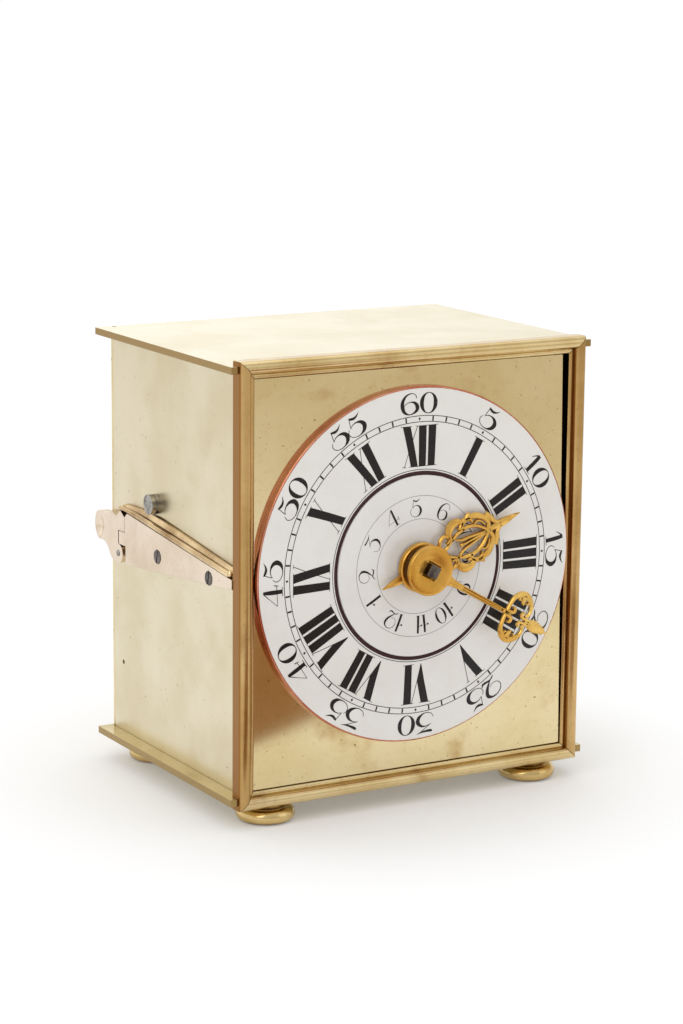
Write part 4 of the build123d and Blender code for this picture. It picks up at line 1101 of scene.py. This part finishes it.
def make_floor():
    """White paper. Far from the clock it glows a little, so the paper meets the room without a line. In
    reflections only, paper far from the rear left is tinted tan: a painted reflection.
    """
    half = 12.0
    mat = Recipe("white_paper")
    speckle = mat.noise(0.3, 3.0, 0.5)
    mat.set(colour=mat.blend(speckle, (0.97, 0.97, 0.97, 1), (0.94, 0.94, 0.94, 1)), rough=0.9,
            specular=0.0)
    away = add_node(mat.tree, "ShaderNodeVectorMath", {0: mat.place}, operation="LENGTH").outputs["Value"]
    far = mat.ramp(away, 52.0, 120.0, 0.18, 1.0)
    # Painted reflection: for glossy rays only, the paper far from a point behind and left of the clock turns
    # tan.
    behind = add_node(mat.tree, "ShaderNodeVectorMath", {0: mat.place, 1: (-200, 200, 0)},
                      operation="DISTANCE").outputs["Value"]
    glossy = add_node(mat.tree, "ShaderNodeLightPath").outputs["Is Glossy Ray"]
    reflection_tint = mat.math("MULTIPLY", mat.ramp(behind, 450.0, 900.0), glossy)
    glow = add_node(mat.tree, "ShaderNodeEmission",
                    {"Color": mat.blend(reflection_tint, (1, 1, 1, 1), (0.72, 0.66, 0.58, 1)), "Strength": 1.02})
    mixed = add_node(mat.tree, "ShaderNodeMixShader",
                     {0: far, 1: mat.shader.outputs[0], 2: glow.outputs[0]})
    out = mat.tree.nodes["Material Output"]
    mat.tree.links.new(mixed.outputs[0], out.inputs["Surface"])
    corners = [(-half, -half, 0), (half, -half, 0), (half, half, 0), (-half, half, 0)]
    add_mesh("floor", corners, [(0, 1, 2, 3)], mat.material)


def make_dark_card():
    """A brown card lying in front of the clock. Only polished surfaces see it: it paints a dark brown
    reflection into them.
    """
    mat = Recipe("reflection_card_brown")
    tone = mat.noise(0.02, 2.0, 0.5)
    mat.set(colour=mat.blend(tone, (0.42, 0.23, 0.12, 1), (0.28, 0.15, 0.07, 1)), rough=0.9, specular=0.0)
    outline = [(-0.09, -0.07), (-0.011, -0.098), (0.015, -0.112), (0.09, -0.155), (0.12, -0.25),
               (0.02, -0.27), (-0.1, -0.2)]
    height = 0.0006
    card = add_mesh("painted_reflection_card", [(x, y, height) for x, y in outline], [tuple(range(len(outline)))],
                    mat.material)
    card.visible_camera = False
    card.visible_diffuse = False
    card.visible_shadow = False


def make_studio():
    make_world()
    make_floor()
    make_camera()
    make_dark_card()
    for name, at, size, power in LIGHTS:
        make_light(name, at, size, power)
    view = bpy.context.scene.view_settings
    view.view_transform = "Standard"
    view.look = "None"


materials = make_materials()
finish_nodes(materials)
dial_painting(materials["ink"])
alarm_painting(materials["ink"])
alarm_circles(materials["faint"])
gap_ring(materials["gap_shade"])
minute_hand(materials["gilt"])
hour_hand(materials["gilt"])
hour_spacer(materials["spacer"])
side_lever(materials["lever"])
lever_spring(materials["spring"])
spring_tip(materials["spring"])
make_studio()

bpy.context.view_layer.update()
